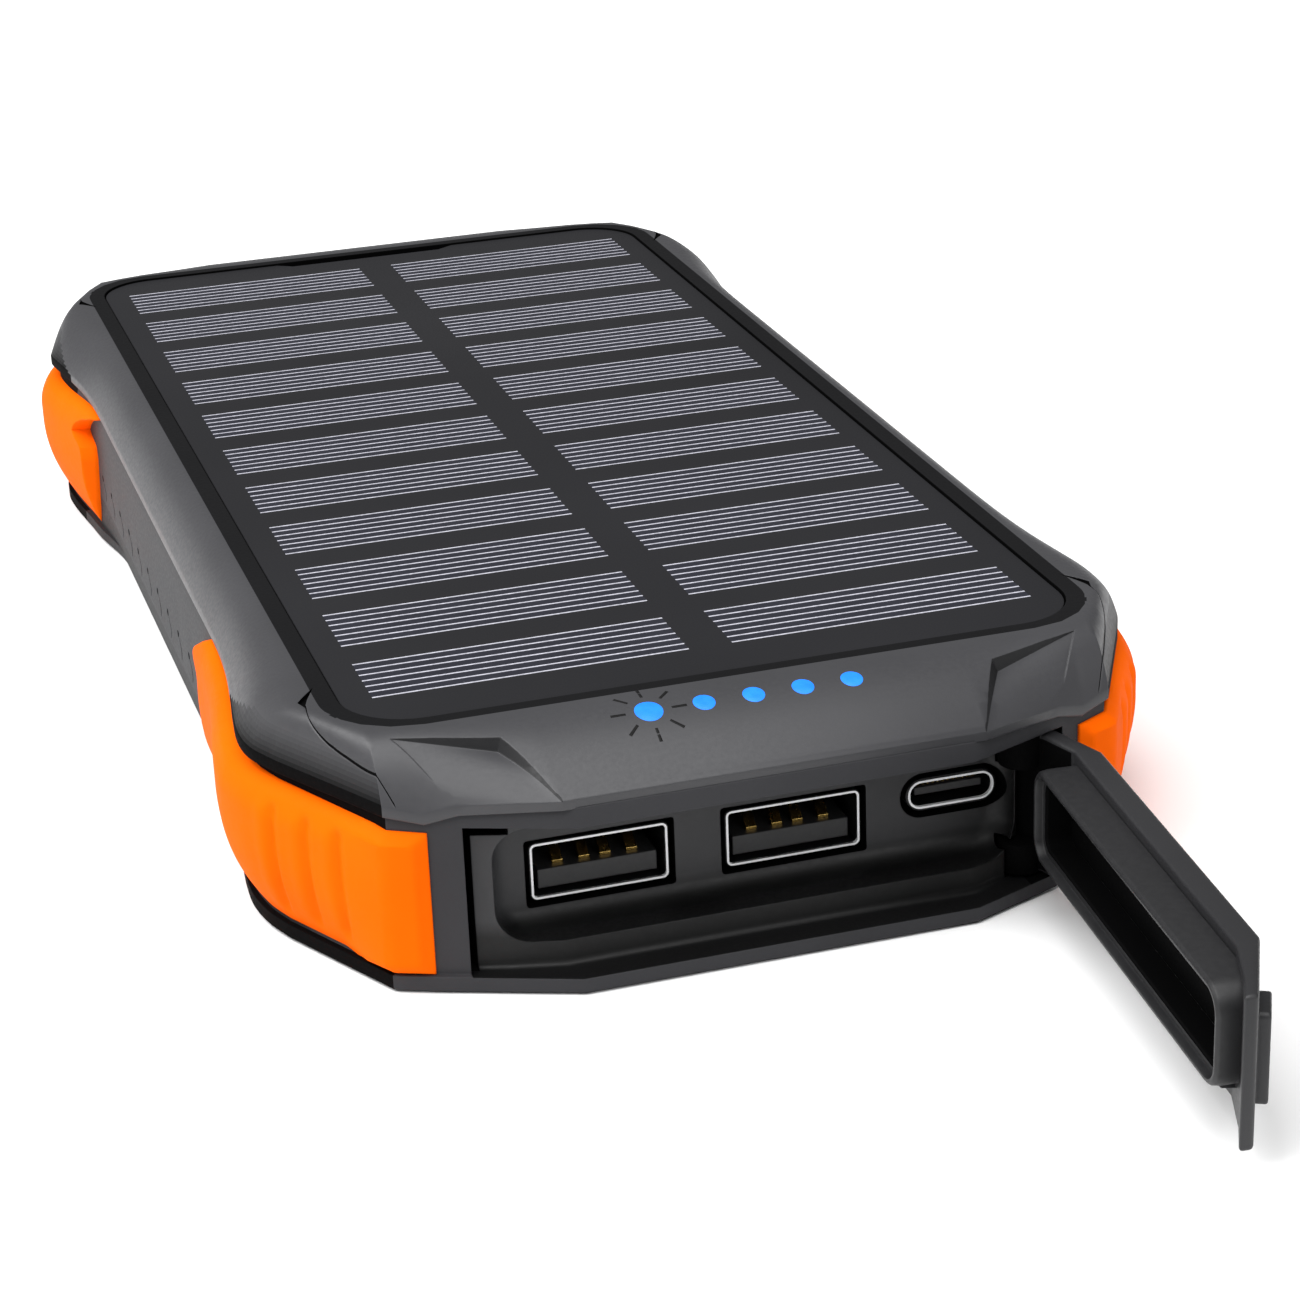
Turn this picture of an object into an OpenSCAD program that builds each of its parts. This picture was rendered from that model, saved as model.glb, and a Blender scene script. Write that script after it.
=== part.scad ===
// Rugged solar phone charger: a flat power bank with a solar panel on top, four corner
// bumpers, two USB-A sockets and one USB-C socket behind a hinged lid at the front end.
// Frame: origin at the centre of the flat underside, +Z up, +X to the lid hinge side,
// -Y to the socket end. Millimetres. The lid is drawn open by lid_open degrees.

/* [Body] */
// Length over the front and rear faces
body_len = 176; // [174:0.5:180]
// Width over the straight side walls at the waist
waist_w = 82.4; // [81:0.2:84]
// Height of the flat frame round the solar panel
body_h = 23.3; // [23:0.1:24.5]
// Height of the parting plane between the two shells
split_z = 18; // [17.8:0.1:18.2]
// Thickness of the underside
floor_t = 1.8; // [1.6:0.1:2]

/* [Solar panel] */
// Half width of the panel laminate
panel_hx = 35.1; // [34:0.1:35.3]
// Half length of the panel laminate
panel_hy = 75.4; // [74.8:0.1:75.8]
// Corner radius of the panel laminate
panel_r = 6.5; // [4:0.5:8]
// Distance between neighbouring cell strips
strip_pitch = 13; // [12.8:0.1:13.2]
// Number of cell strips in each of the two columns
strip_count = 11; // [7:2:11]
// Silver conductor lines on each strip
finger_count = 7; // [3:1:9]

/* [Sockets] */
// Distance from the middle of the body to the wall that the sockets look through
port_y = 80.6; // [80.3:0.1:80.8]
// Height of the USB-A sockets above the underside
usb_a_z = 8.75; // [8.6:0.05:8.85]
// Height of the USB-C socket above the underside
usb_c_z = 9.95; // [9.9:0.05:10.05]

/* [Lid] */
// Angle that the lid stands open at
lid_open = 85; // [0:5:85]
// Radius of the two hinge pins
pin_r = 0.8; // [0.6:0.05:0.9]
// Running clearance between a pin and the lid
pin_gap = 0.05; // [0.03:0.01:0.1]

/* [Button] */
// Distance of the power button from the middle of the right wall
button_y = -14; // [-18:1:-8]
// How far the button cap stands out of the wall
button_proud = 0.5; // [0.4:0.1:0.8]

/* [Hidden] */
eps = 0.01;
front = body_len / 2;
side = waist_w / 2;

// Right front quarter of the body outline as [x, distance to the front], from the end of
// the flat front face round the corner to the waist.
kink_x = 18.6;
quarter = [
    [kink_x, front], [side - 10.3, front - 5.1], [side - 7, front - 6.6],
    [side - 5.3, front - 9.6], [side - 3.6, front - 12.8], [side - 1.8, front - 16.6],
    [side - 0.2, front - 20], [side + 0.9, front - 23.2], [side + 1.5, front - 26.5],
    [side + 1.5, front - 30], [side + 1.1, front - 34], [side + 0.6, front - 38],
    [side + 0.2, front - 42], [side, front - 46], [side, front - 51.3],
    [side, front - 54.7], [side, front - 57.8]];
last = len(quarter) - 1;

function unit(v) = v / norm(v);
function away(v) = unit([v[1], -v[0]]);
// Outward direction at station k of the quarter outline
function out_at(k) =
    k == 0 ? [0, 1] :
    k == last ? [1, 0] :
    away(quarter[k + 1] - quarter[k - 1]) * sign(away(quarter[k + 1] - quarter[k - 1])[0]);
function moved(k, d) = quarter[k] + out_at(k) * d;
// All four quarters of a symmetric outline, counter-clockwise from the right front
function whole(q) = concat(
    [for (k = [0:last]) [q[k][0], -q[k][1]]],
    [for (k = [last:-1:0]) [q[k][0], q[k][1]]],
    [for (k = [0:last]) [-q[k][0], q[k][1]]],
    [for (k = [last:-1:0]) [-q[k][0], -q[k][1]]]);
function raised(ring, z) = [for (p = ring) [p[0], p[1], z]];

// Solid between rings of the same number of points, closed by a flat cap at each end
module skin(rings) {
    n = len(rings[0]);
    m = len(rings);
    points = [for (r = rings) each r];
    walls = [for (j = [0:m - 2], i = [0:n - 1]) each [
        [j * n + i, (j + 1) * n + i, j * n + (i + 1) % n],
        [j * n + (i + 1) % n, (j + 1) * n + i, (j + 1) * n + (i + 1) % n]]];
    caps = [[for (i = [0:n - 1]) i], [for (i = [n - 1:-1:0]) (m - 1) * n + i]];
    polyhedron(points, concat(walls, caps));
}

module slab(hx, hy, r, z0, z1) {
    translate([0, 0, z0]) linear_extrude(z1 - z0) {
        square([2 * (hx - r), 2 * hy], center = true);
        square([2 * hx, 2 * (hy - r)], center = true);
        for (sx = [-1, 1], sy = [-1, 1])
            translate([sx * (hx - r), sy * (hy - r)]) circle(r, $fn = 48);
    }
}

module box(x, y, z) {
    translate([x[0], y[0], z[0]]) cube([x[1] - x[0], y[1] - y[0], z[1] - z[0]]);
}

module plan(points, z0, z1) {
    translate([0, 0, z0]) linear_extrude(z1 - z0) polygon(points);
}

// Rounded bar seen from the front: x centre, z centre, width, height, corner radius
module port_bar(x, z, w, h, r, y0, y1) {
    translate([x, y1, z]) rotate([90, 0, 0]) linear_extrude(y1 - y0) {
        square([w - 2 * r, h], center = true);
        square([w, h - 2 * r], center = true);
        for (sx = [-1, 1], sz = [-1, 1])
            translate([sx * (w / 2 - r), sz * (h / 2 - r)]) circle(r, $fn = 32);
    }
}

// ---- screws and posts -----------------------------------------------------------
screw_r = 1.2;
screw_head_r = 2.2;
screw_head_h = 1.3;
screw_foot = 0.3;
screw_top = 19.6;
post_r = 2.3;
post_r_wide = 3.2;
screw_spots = [for (sx = [-1, 1]) each
    [[sx * 35.2, -62], [sx * 35, 10], [sx * 24, 80]]];

// ---- bumpers --------------------------------------------------------------------
bumper_z0 = 1.8;
bumper_z1 = 15.6;
bumper_in = 1.9;
bumper_gap = 0.06;
// Upper edge: level round the corner, then a climb to a tip on the wall and a slant down
climb_y = front - 34;
tip_y = front - 51.3;
tail_y = front - 57.8;
tip_z = split_z - 0.3;
tail_z = 13.8;
function bumper_top(y) =
    y >= climb_y ? bumper_z1 :
    y >= tip_y ? bumper_z1 + (tip_z - bumper_z1) * (climb_y - y) / (climb_y - tip_y) :
    tail_z + (tip_z - tail_z) * (y - tail_y) / (tip_y - tail_y);
// How far the outer face stands out at station k
function bulge(k) =
    k <= 1 ? 0.25 : k <= 3 ? 1.1 : k <= 9 ? 2.2 : k <= 11 ? 1.7 : k <= 13 ? 1 : 0.5;
function bumper_ring(k) =
    let (z0 = bumper_z0, z1 = bumper_top(quarter[k][1]), h = z1 - z0, b = bulge(k),
        profile = [[0.35 * b, z0], [b, z0 + 0.35 * h], [b, z0 + 0.8 * h], [0.3 * b, z1],
            [-bumper_in, z1], [-bumper_in, z0]])
    [for (p = profile) [moved(k, p[0])[0], moved(k, p[0])[1], p[1]]];
// The rear bumpers end sooner along the wall than the front ones
rear_last = last - 3;
function end_station(rear) = rear ? rear_last : last;
module bumper_body(rear) {
    skin([for (k = [1:end_station(rear)]) bumper_ring(k)]);
}
// Pocket in the lower shell that one bumper sits in, left open to the outside
module bumper_pocket(rear) {
    g = bumper_gap;
    n = end_station(rear);
    ribbon = concat([for (k = [1:n]) moved(k, -bumper_in - g)],
        [for (k = [n:-1:1]) moved(k, 6)]);
    intersection() {
        plan(ribbon, bumper_z0 - g, split_z + 1);
        rotate([90, 0, 90]) linear_extrude(2 * side) polygon([
            [tail_y - 2, bumper_z0 - 1], [front + 9, bumper_z0 - 1], [front + 9, bumper_z1 + g],
            [climb_y, bumper_z1 + g], [tip_y, tip_z + g], [tail_y - 2, tail_z - 1.3]]);
    }
}
// One corner; the quarter solid is drawn for x > 0 and the rear, then mirrored
module at_corner(right, rear) {
    mirror([right ? 0 : 1, 0, 0]) mirror([0, rear ? 0 : 1, 0]) children();
}
module bumper(right, rear) {
    color([1, 0.5, 0.08]) at_corner(right, rear) bumper_body(rear);
}
module bumper_front_left() { bumper(false, false); }
module bumper_front_right() { bumper(true, false); }
module bumper_rear_left() { bumper(false, true); }
module bumper_rear_right() { bumper(true, true); }

// ---- lid, hinge and socket recess -----------------------------------------------
hinge = [25.4, -82.4];
knuckle_r = 2.1;
swing_gap = 0.3;
heel_r = 3.8;
opening_z = [1.6, 16.1];
opening_left = -28;
lid_z = [opening_z[0] + 0.25, opening_z[1] - 0.25];
lid_left = opening_left + swing_gap;
lid_right = 28.5;
low_knuckle = [lid_z[0], 4.9];
high_knuckle = [12.6, lid_z[1]];
front_slope = 5.1 / (side - 10.3 - kink_x);
// Distance from the middle to the front face at x
function face_at(x) = front - front_slope * max(0, abs(x) - kink_x);
lid_flat_in = 85.5;
lid_shy = 0.1;
// Inner face of the lid plate, from the free end to the hinge
lid_inner = [[lid_left, -82.9], [-24.6, -84.1], [-19.5, -lid_flat_in],
    [19.5, -lid_flat_in], [23.5, -83.9], [25, -82.7]];
lid_outer = [[27, -82], [lid_right, -face_at(lid_right) + lid_shy],
    [kink_x, -front + lid_shy], [-kink_x, -front + lid_shy],
    [lid_left, -face_at(lid_left) + lid_shy]];
recess_deep = 12;
recess_x = [-25.4, 24.2];
recess_z = [4, 15.2];
recess_r = 3;
usb_a_x = [-14.7, 3.8];
usb_c_x = 19.3;

module closed_lid_pose() {
    translate([hinge[0], hinge[1], 0]) rotate([0, 0, lid_open])
        translate([-hinge[0], -hinge[1], 0]) children();
}
module on_hinge(z, r) {
    translate([hinge[0], hinge[1], z[0]]) cylinder(h = z[1] - z[0], r = r, $fn = 64);
}

module lid_plate() {
    plan(concat(lid_inner, lid_outer), lid_z[0], lid_z[1]);
    on_hinge(low_knuckle, knuckle_r);
    on_hinge(high_knuckle, knuckle_r);
    // finger grip on the slanted free end
    translate([-24.3, -face_at(24.3), 9]) rotate([0, 0, -atan(front_slope)])
        cube([3.6, 1.7, 8], center = true);
    // catch that enters the slot at the free end
    box([lid_left, lid_left + 0.7], [-83.4, -80.9], [6.5, 11.5]);
}
module port_lid() {
    color([0.2, 0.2, 0.21]) closed_lid_pose() difference() {
        lid_plate();
        on_hinge([lid_z[0] - 1, low_knuckle[1] - 1], pin_r + pin_gap);
        on_hinge([high_knuckle[0] + 1, lid_z[1] + 1], pin_r + pin_gap);
    }
}

seal_x = [-24.9, 22.4];
seal_z = [5.6, 14.9];
seal_r = 2.6;
seal_wall = 1.5;
seal_tip = -81.5;
module lid_seal() {
    mid_x = (seal_x[0] + seal_x[1]) / 2;
    mid_z = (seal_z[0] + seal_z[1]) / 2;
    w = seal_x[1] - seal_x[0];
    h = seal_z[1] - seal_z[0];
    color([0.08, 0.08, 0.085]) closed_lid_pose() difference() {
        port_bar(mid_x, mid_z, w, h, seal_r, -front, seal_tip);
        port_bar(mid_x, mid_z, w - 2 * seal_wall, h - 2 * seal_wall,
            seal_r - seal_wall, -front - 1, seal_tip + 1);
        plan(concat(lid_inner, [[recess_x[1], -82.7], [recess_x[1] + 4, -front - 4],
            [lid_left - 4, -front - 4]]), 0, split_z);
    }
}

pin_low = [0.6, low_knuckle[1] - 1.2];
pin_high = [high_knuckle[0] + 1.2, 17.2];
module hinge_pins() {
    color([0.75, 0.76, 0.78]) {
        on_hinge(pin_low, pin_r);
        on_hinge(pin_high, pin_r);
    }
}

// Everything that is cut from the front of the lower shell
module socket_recess() {
    shift = [0, swing_gap];
    shallow = [for (p = lid_inner) p + shift];
    plan(concat([[opening_left, -front - 5], [opening_left, shallow[0][1]]],
        [for (k = [1:4]) shallow[k]], [[25.1, -82.3], [25.1, -front - 5]]),
        opening_z[0], opening_z[1]);
    // swing space of the lid's heel
    intersection() {
        on_hinge(opening_z, heel_r);
        box([25.05, 40], [-90, -70], opening_z);
    }
    on_hinge([opening_z[0], low_knuckle[1] + swing_gap], knuckle_r + swing_gap);
    on_hinge([high_knuckle[0] - swing_gap, opening_z[1]], knuckle_r + swing_gap);
    port_bar((recess_x[0] + recess_x[1]) / 2, (recess_z[0] + recess_z[1]) / 2,
        recess_x[1] - recess_x[0], recess_z[1] - recess_z[0], recess_r,
        -port_y - recess_deep, -port_y);
    // catch slot
    box([opening_left, opening_left + 1.4], [-85, -79.9], [3, 14.6]);
    on_hinge([pin_low[0], 3], pin_r + 0.02);
    on_hinge([15, pin_high[1]], pin_r + 0.02);
}

// ---- shells ---------------------------------------------------------------------
port_wall = 1.7;
cavity_front = -port_y + port_wall;
wall_in = 37.2;
cavity = [[-24.3, cavity_front], [24.3, cavity_front], [24.3, -76.6], [30, -76.6],
    [wall_in, -64], [wall_in, 64], [30.5, 78.6], [17.5, front - 2.2], [-17.5, front - 2.2],
    [-30.5, 78.6], [-wall_in, 64], [-wall_in, -64], [-30, -76.6], [-24.3, -76.6]];
groove_pitch = 6.63;
groove_count = 11;
groove_y0 = -25.4;
groove_z = 8.2;
groove_deep = 0.4;
groove_r = 0.9;
button_z = 9.2;
button_w = 12;
button_h = 5;

module side_grooves() {
    for (sx = [-1, 1], k = [0:groove_count - 1]) {
        y = groove_y0 + k * groove_pitch;
        if (sx < 0 || abs(y - button_y) > button_w / 2 + 3)
            translate([sx * side, y, groove_z]) rotate([0, 90, 0])
                cylinder(h = groove_deep * 2, r = groove_r, center = true, $fn = 24);
    }
}

module bottom_shell() {
    color([0.2, 0.2, 0.21]) difference() {
        union() {
            difference() {
                union() {
                    plan(whole(quarter), 0, split_z);
                    plan(whole([for (k = [0:last]) moved(k, 0.5)]), 0, bumper_z0 - 0.1);
                }
                plan(cavity, floor_t, split_z + 1);
            }
            intersection() {
                plan(cavity, 0.5, split_z);
                for (p = screw_spots) translate([p[0], p[1], 0.5])
                    cylinder(h = split_z - 0.5, r = post_r_wide, $fn = 48);
            }
        }
        for (right = [false, true], rear = [false, true])
            at_corner(right, rear) bumper_pocket(rear);
        socket_recess();
        for (x = usb_a_x) port_bar(x, usb_a_z, 14.1, 6.6, 0.5, -port_y - 1, cavity_front + 1);
        port_bar(usb_c_x, usb_c_z, 9.7, 4, 1.99, -port_y - 1, cavity_front + 1);
        for (p = screw_spots) translate([p[0], p[1], -1]) {
            cylinder(h = split_z + 2, r = screw_r + 0.1, $fn = 32);
            cylinder(h = 1 + screw_foot + screw_head_h, r = screw_head_r + 0.1, $fn = 32);
        }
        button_hole(0.2);
        side_grooves();
    }
}

// Outline of the raised frame round the panel, matched to the stations of the quarter
frame_hx = panel_hx + 2;
frame_hy = panel_hy + 1.6;
frame_r = 8;
function frame_at(k) =
    k == 0 ? [kink_x, frame_hy + 0.25] :
    k <= 7 ? [frame_hx - frame_r + frame_r * sin((k - 1) * 15),
        frame_hy - frame_r + frame_r * cos((k - 1) * 15)] :
    [frame_hx, quarter[k][1]];
rim_over = 2.4;
rim_ridge = 3.4;
rim_h = 0.9;
// The rim overhangs the bumpers, stands out most at the ridge by the front kink, and
// is nearly flush along the waist
function rim_at(k) = moved(k, k == 0 ? -0.2 : k == 1 ? rim_ridge :
    k <= 8 ? rim_over : max(0.2, rim_over - 0.45 * (k - 8)));
slope_steps = [0, 0.12, 0.3, 0.5, 0.75, 1];
module top_blank() {
    rim = [for (k = [0:last]) rim_at(k)];
    frame_ring = whole([for (k = [0:last]) frame_at(k)]);
    // The blank runs past both flat faces and is trimmed to them
    difference() {
        skin(concat([raised(whole(rim), split_z - 1)], [for (u = slope_steps)
            raised(whole([for (k = [0:last]) rim[k] * (1 - u) + frame_at(k) * u]),
                body_h - (body_h - split_z - rim_h) * pow(1 - u, 2))],
            [raised(frame_ring, body_h + 1)]));
        box([-front, front], [-front - 9, front + 9], [split_z - 3, split_z]);
        box([-front, front], [-front - 9, front + 9], [body_h, body_h + 3]);
    }
}

panel_floor = 21.2;
ceiling_z = 20.2;
led_y = -80.6;
led_pitch = 4.68;
led_x0 = -9.6;
led_r = [1.28, 1.02, 1.02, 1.02, 1.02];
function led_x(k) = k == 0 ? led_x0 : led_x0 + 0.5 + k * led_pitch;
lead_spots = [[-14, -70], [-10, -70]];
// Hollow under the top, narrow enough to leave the waist posts in solid plastic
roof_x = 30.8;
roof = [[-27, -84.2], [27, -84.2], [roof_x, -72], [roof_x, 72], [27, 83], [-27, 83],
    [-roof_x, 72], [-roof_x, -72]];
module top_shell() {
    color([0.24, 0.24, 0.25]) difference() {
        top_blank();
        slab(panel_hx + 0.2, panel_hy + 0.2, panel_r + 0.2, panel_floor, body_h + 1);
        difference() {
            plan(roof, split_z - 1, ceiling_z);
            for (p = screw_spots) translate([p[0], p[1], split_z - 2])
                cylinder(h = 6, r = post_r_wide, $fn = 48);
        }
        for (p = screw_spots) translate([p[0], p[1], split_z - 1])
            cylinder(h = screw_top + 0.4 - split_z + 1, r = screw_r, $fn = 32);
        for (k = [0:4]) translate([led_x(k), led_y, split_z])
            cylinder(h = 8, r = led_r[k] + 0.03, $fn = 32);
        for (p = lead_spots) translate([p[0], p[1], ceiling_z - 1])
            cylinder(h = 3, r = 1, $fn = 24);
    }
}

// ---- solar panel ----------------------------------------------------------------
backing_t = 1;
cell_t = 0.22;
finger_t = 0.06;
panel_top = 23.1;
strip_depth = 8.4;
strip_x = [2.1, 32.1];
finger_w = 0.28;
pry_notch = [[-11.7, panel_hy + 1], [-11.7, panel_hy], [-9.8, panel_hy - 1.3],
    [9.6, panel_hy - 1.3], [11.7, panel_hy], [11.7, panel_hy + 1]];
cell_z = panel_floor + backing_t;
module laminate(z0, z1) {
    difference() {
        slab(panel_hx, panel_hy, panel_r, z0, z1);
        plan(pry_notch, z0 - 1, z1 + 1);
    }
}
module on_strips() {
    for (s = [-1, 1], k = [0:strip_count - 1])
        translate([s > 0 ? strip_x[0] : -strip_x[1],
            (k - (strip_count - 1) / 2) * strip_pitch, cell_z]) children();
}
module panel_backing() { color([0.1, 0.1, 0.11]) laminate(panel_floor, cell_z); }
module solar_cells() {
    color([0.12, 0.12, 0.2]) on_strips() translate([0, -strip_depth / 2, 0])
        cube([strip_x[1] - strip_x[0], strip_depth, cell_t]);
}
module cell_fingers() {
    step = (strip_depth - finger_w) / (finger_count - 1);
    color([0.8, 0.8, 0.85]) on_strips() for (j = [0:finger_count - 1])
        translate([0, -strip_depth / 2 + j * step, cell_t])
            cube([strip_x[1] - strip_x[0], finger_w, finger_t]);
}
module panel_cover() {
    color([0.2, 0.2, 0.21, 0.6]) difference() {
        laminate(cell_z, panel_top);
        box([-33, 33], [-70, 70], [cell_z - 1, cell_z + cell_t + finger_t + 0.02]);
    }
}

// ---- indicator lights -----------------------------------------------------------
board_y = [-78.4, -52];
board_z = [11.75, 13.35];
guide_y = -76.2;
module light_guide() {
    color([0.12, 0.6, 1]) {
        for (k = [0:4]) {
            translate([led_x(k), led_y, 19]) cylinder(h = 3.75, r = led_r[k], $fn = 32);
            translate([led_x(k), guide_y, 14.3]) cylinder(h = 4.6, r = 0.9, $fn = 32);
        }
        box([led_x0 - 1.5, led_x(4) + 1.5], [led_y - 1.5, guide_y + 1.2], [18.5, 19.8]);
    }
}
module indicator_leds() {
    color([0.95, 0.95, 0.8]) for (k = [0:4])
        box([led_x(k) - 0.8, led_x(k) + 0.8], [guide_y - 0.6, guide_y + 0.6],
            [board_z[1], board_z[1] + 0.7]);
}

// ---- main board and what is on it -----------------------------------------------
module main_board() {
    color([0.05, 0.25, 0.12]) difference() {
        union() {
            box([-23.8, 23.8], board_y, board_z);
            box([-29, 29], [board_y[0] + 2.4, board_y[1]], board_z);
        }
        for (x = [-26.5, 26.5]) translate([x, -54.5, 10]) cylinder(h = 5, r = 1.2, $fn = 32);
    }
}
function on_board(h) = [board_z[1], board_z[1] + h];
module controller_chips() {
    color([0.06, 0.06, 0.07]) {
        box([-4, 3], [-66, -59], on_board(0.9));
        box([12, 17], [-70, -65], on_board(0.9));
        box([-26, -21], [-66, -61], on_board(0.9));
    }
}
module power_inductors() {
    color([0.25, 0.25, 0.27]) {
        box([6.5, 13.5], [-62, -55], on_board(3));
        box([-17, -10], [-62, -55], on_board(3));
    }
}
module filter_capacitors() {
    color([0.7, 0.62, 0.45]) for (k = [0:4])
        box([18.5 + 2.4 * k, 20.1 + 2.4 * k], [-62, -59], on_board(1.4));
    color([0.7, 0.62, 0.45]) for (x = [18, 24.5])
        translate([x, -72.5, board_z[1]]) cylinder(h = 3.6, r = 2, $fn = 32);
}
connector_y = [-58, -52.5];
module battery_connector() {
    color([0.93, 0.93, 0.9]) box([-4.5, 4.5], connector_y, on_board(3.6));
}

// USB-A socket, hung under the board with its tongue low
usb_a_w = 13.1;
usb_a_h = 5.7;
sheet = 0.3;
usb_a_y = [-port_y + 0.25, -66];
module usb_a_shell(x) {
    color([0.85, 0.86, 0.88]) difference() {
        port_bar(x, usb_a_z, usb_a_w, usb_a_h, 0.6, usb_a_y[0], usb_a_y[1]);
        port_bar(x, usb_a_z, usb_a_w - 2 * sheet, usb_a_h - 2 * sheet, 0.3,
            usb_a_y[0] - 1, usb_a_y[1] - sheet);
    }
}
tongue_z = [usb_a_z - 2.1, usb_a_z - 0.26];
module usb_a_insulator(x) {
    color([0.13, 0.13, 0.14]) {
        box([x - 5.6, x + 5.6], [usb_a_y[0] + 0.8, -69], tongue_z);
        box([x - 6.1, x + 6.1], [-70, usb_a_y[1] - sheet - 0.02],
            [usb_a_z - 2.5, usb_a_z + 2.5]);
    }
}
contact_w = 1;
module usb_a_contacts(x) {
    color([0.85, 0.68, 0.25]) for (dx = [-3.5, -1, 1, 3.5])
        box([x + dx - contact_w / 2, x + dx + contact_w / 2],
            [usb_a_y[0] + 1.6, -70], [tongue_z[1], tongue_z[1] + 0.3]);
}
module usb_a_left_shell() { usb_a_shell(usb_a_x[0]); }
module usb_a_left_insulator() { usb_a_insulator(usb_a_x[0]); }
module usb_a_left_contacts() { usb_a_contacts(usb_a_x[0]); }
module usb_a_right_shell() { usb_a_shell(usb_a_x[1]); }
module usb_a_right_insulator() { usb_a_insulator(usb_a_x[1]); }
module usb_a_right_contacts() { usb_a_contacts(usb_a_x[1]); }

usb_c_w = 8.94;
usb_c_h = 3.26;
usb_c_y = [-port_y + 0.15, -73.2];
module usb_c_shell() {
    color([0.85, 0.86, 0.88]) difference() {
        port_bar(usb_c_x, usb_c_z, usb_c_w, usb_c_h, 1.62, usb_c_y[0], usb_c_y[1]);
        port_bar(usb_c_x, usb_c_z, usb_c_w - 0.6, usb_c_h - 0.6, 1.32,
            usb_c_y[0] - 1, usb_c_y[1] - sheet);
    }
}
module usb_c_tongue() {
    color([0.07, 0.07, 0.08]) {
        box([usb_c_x - 3.3, usb_c_x + 3.3], [usb_c_y[0] + 0.8, -75], [usb_c_z - 0.35, usb_c_z + 0.35]);
        box([usb_c_x - 3.2, usb_c_x + 3.2], [-75, usb_c_y[1] - sheet - 0.02],
            [usb_c_z - 1.2, usb_c_z + 1.2]);
    }
}
module usb_c_contacts() {
    color([0.85, 0.68, 0.25]) for (k = [0:11], s = [-1, 1])
        translate([usb_c_x + (k - 5.5) * 0.5, (usb_c_y[0] + 1.4 - 75) / 2, usb_c_z + s * 0.38])
            cube([0.26, -75 - usb_c_y[0] - 1.4, 0.06], center = true);
}

// ---- battery --------------------------------------------------------------------
battery_x = [-31.4, 30.4];
battery_y = [-43, 75];
cell_h = 7.1;
battery_z = [floor_t + 0.1, floor_t + 0.1 + cell_h];
tape_h = 0.4;
upper_z = [battery_z[1] + tape_h, battery_z[1] + tape_h + cell_h];
module battery_cell_lower() { color([0.72, 0.74, 0.78]) box(battery_x, battery_y, battery_z); }
module battery_cell_upper() { color([0.72, 0.74, 0.78]) box(battery_x, battery_y, upper_z); }
module cell_spacer_tape() {
    color([0.95, 0.93, 0.85]) for (y = [-36, 10, 56])
        box([battery_x[0] + 2, battery_x[1] - 2], [y, y + 12], [battery_z[1], upper_z[0]]);
}
protection_y = [-48.6, -47.4];
module protection_board() {
    color([0.05, 0.3, 0.35]) box([-13, 11], protection_y, [4, 17]);
}
module battery_tabs() {
    color([0.8, 0.8, 0.8]) for (x = [-9, 3], z = [battery_z[0] + 3, upper_z[0] + 3])
        box([x, x + 5], [protection_y[1], battery_y[0]], [z, z + 0.3]);
}
module battery_leads() {
    for (s = [-1, 1]) color(s > 0 ? [0.8, 0.1, 0.08] : [0.06, 0.06, 0.06])
        translate([s * 1.8, protection_y[0], 15.3]) rotate([90, 0, 0])
            cylinder(h = protection_y[0] - connector_y[1], r = 0.75, $fn = 24);
}
module panel_leads() {
    for (k = [0, 1]) color(k > 0 ? [0.8, 0.1, 0.08] : [0.06, 0.06, 0.06])
        translate([lead_spots[k][0], lead_spots[k][1], board_z[1]])
            cylinder(h = panel_floor - board_z[1], r = 0.6, $fn = 24);
}
module foam_pads() {
    color([0.15, 0.15, 0.15]) for (y = [-34, 16, 60])
        box([battery_x[0] + 6, battery_x[1] - 6], [y, y + 8], [upper_z[1], ceiling_z]);
}

// ---- power button ---------------------------------------------------------------
module button_bar(w, h, x0, x1) {
    translate([x0, button_y, button_z]) rotate([90, 0, 90]) linear_extrude(x1 - x0) {
        square([w - h, h], center = true);
        for (s = [-1, 1]) translate([s * (w - h) / 2, 0]) circle(h / 2, $fn = 48);
    }
}
module button_hole(gap) { button_bar(button_w + 2 * gap, button_h + 2 * gap, 36, side + 1); }
module power_button() {
    color([0.15, 0.15, 0.16]) {
        button_bar(button_w, button_h, 36, side + button_proud);
        button_bar(button_w + 2, button_h + 2, 35.9, 36.9);
    }
}
module along_button(x0, x1, r) {
    translate([x0, button_y, button_z]) rotate([0, 90, 0]) cylinder(h = x1 - x0, r = r, $fn = 32);
}
module switch_plunger() { color([0.1, 0.1, 0.1]) along_button(33, 35.9, 1); }
module switch_body() {
    color([0.75, 0.75, 0.77]) difference() {
        box([32.4, 34.2], [button_y - 2.3, button_y + 2.3], [button_z - 2.3, button_z + 2.3]);
        along_button(32.45, 35, 1.1);
    }
}
module switch_board() {
    color([0.05, 0.25, 0.12]) box([31.4, 32.4], [button_y - 7, button_y + 7], [4, 15]);
}

// ---- fasteners ------------------------------------------------------------------
module case_screws() {
    color([0.35, 0.35, 0.37]) for (p = screw_spots) translate([p[0], p[1], screw_foot]) {
        difference() {
            cylinder(h = screw_head_h, r = screw_head_r, $fn = 32);
            for (a = [0, 90]) rotate([0, 0, a])
                translate([-1.2, -0.25, -eps]) cube([2.4, 0.5, 0.7]);
        }
        translate([0, 0, screw_head_h]) cylinder(h = screw_top - screw_head_h - screw_foot,
            r = screw_r - 0.02, $fn = 32);
    }
}

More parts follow.
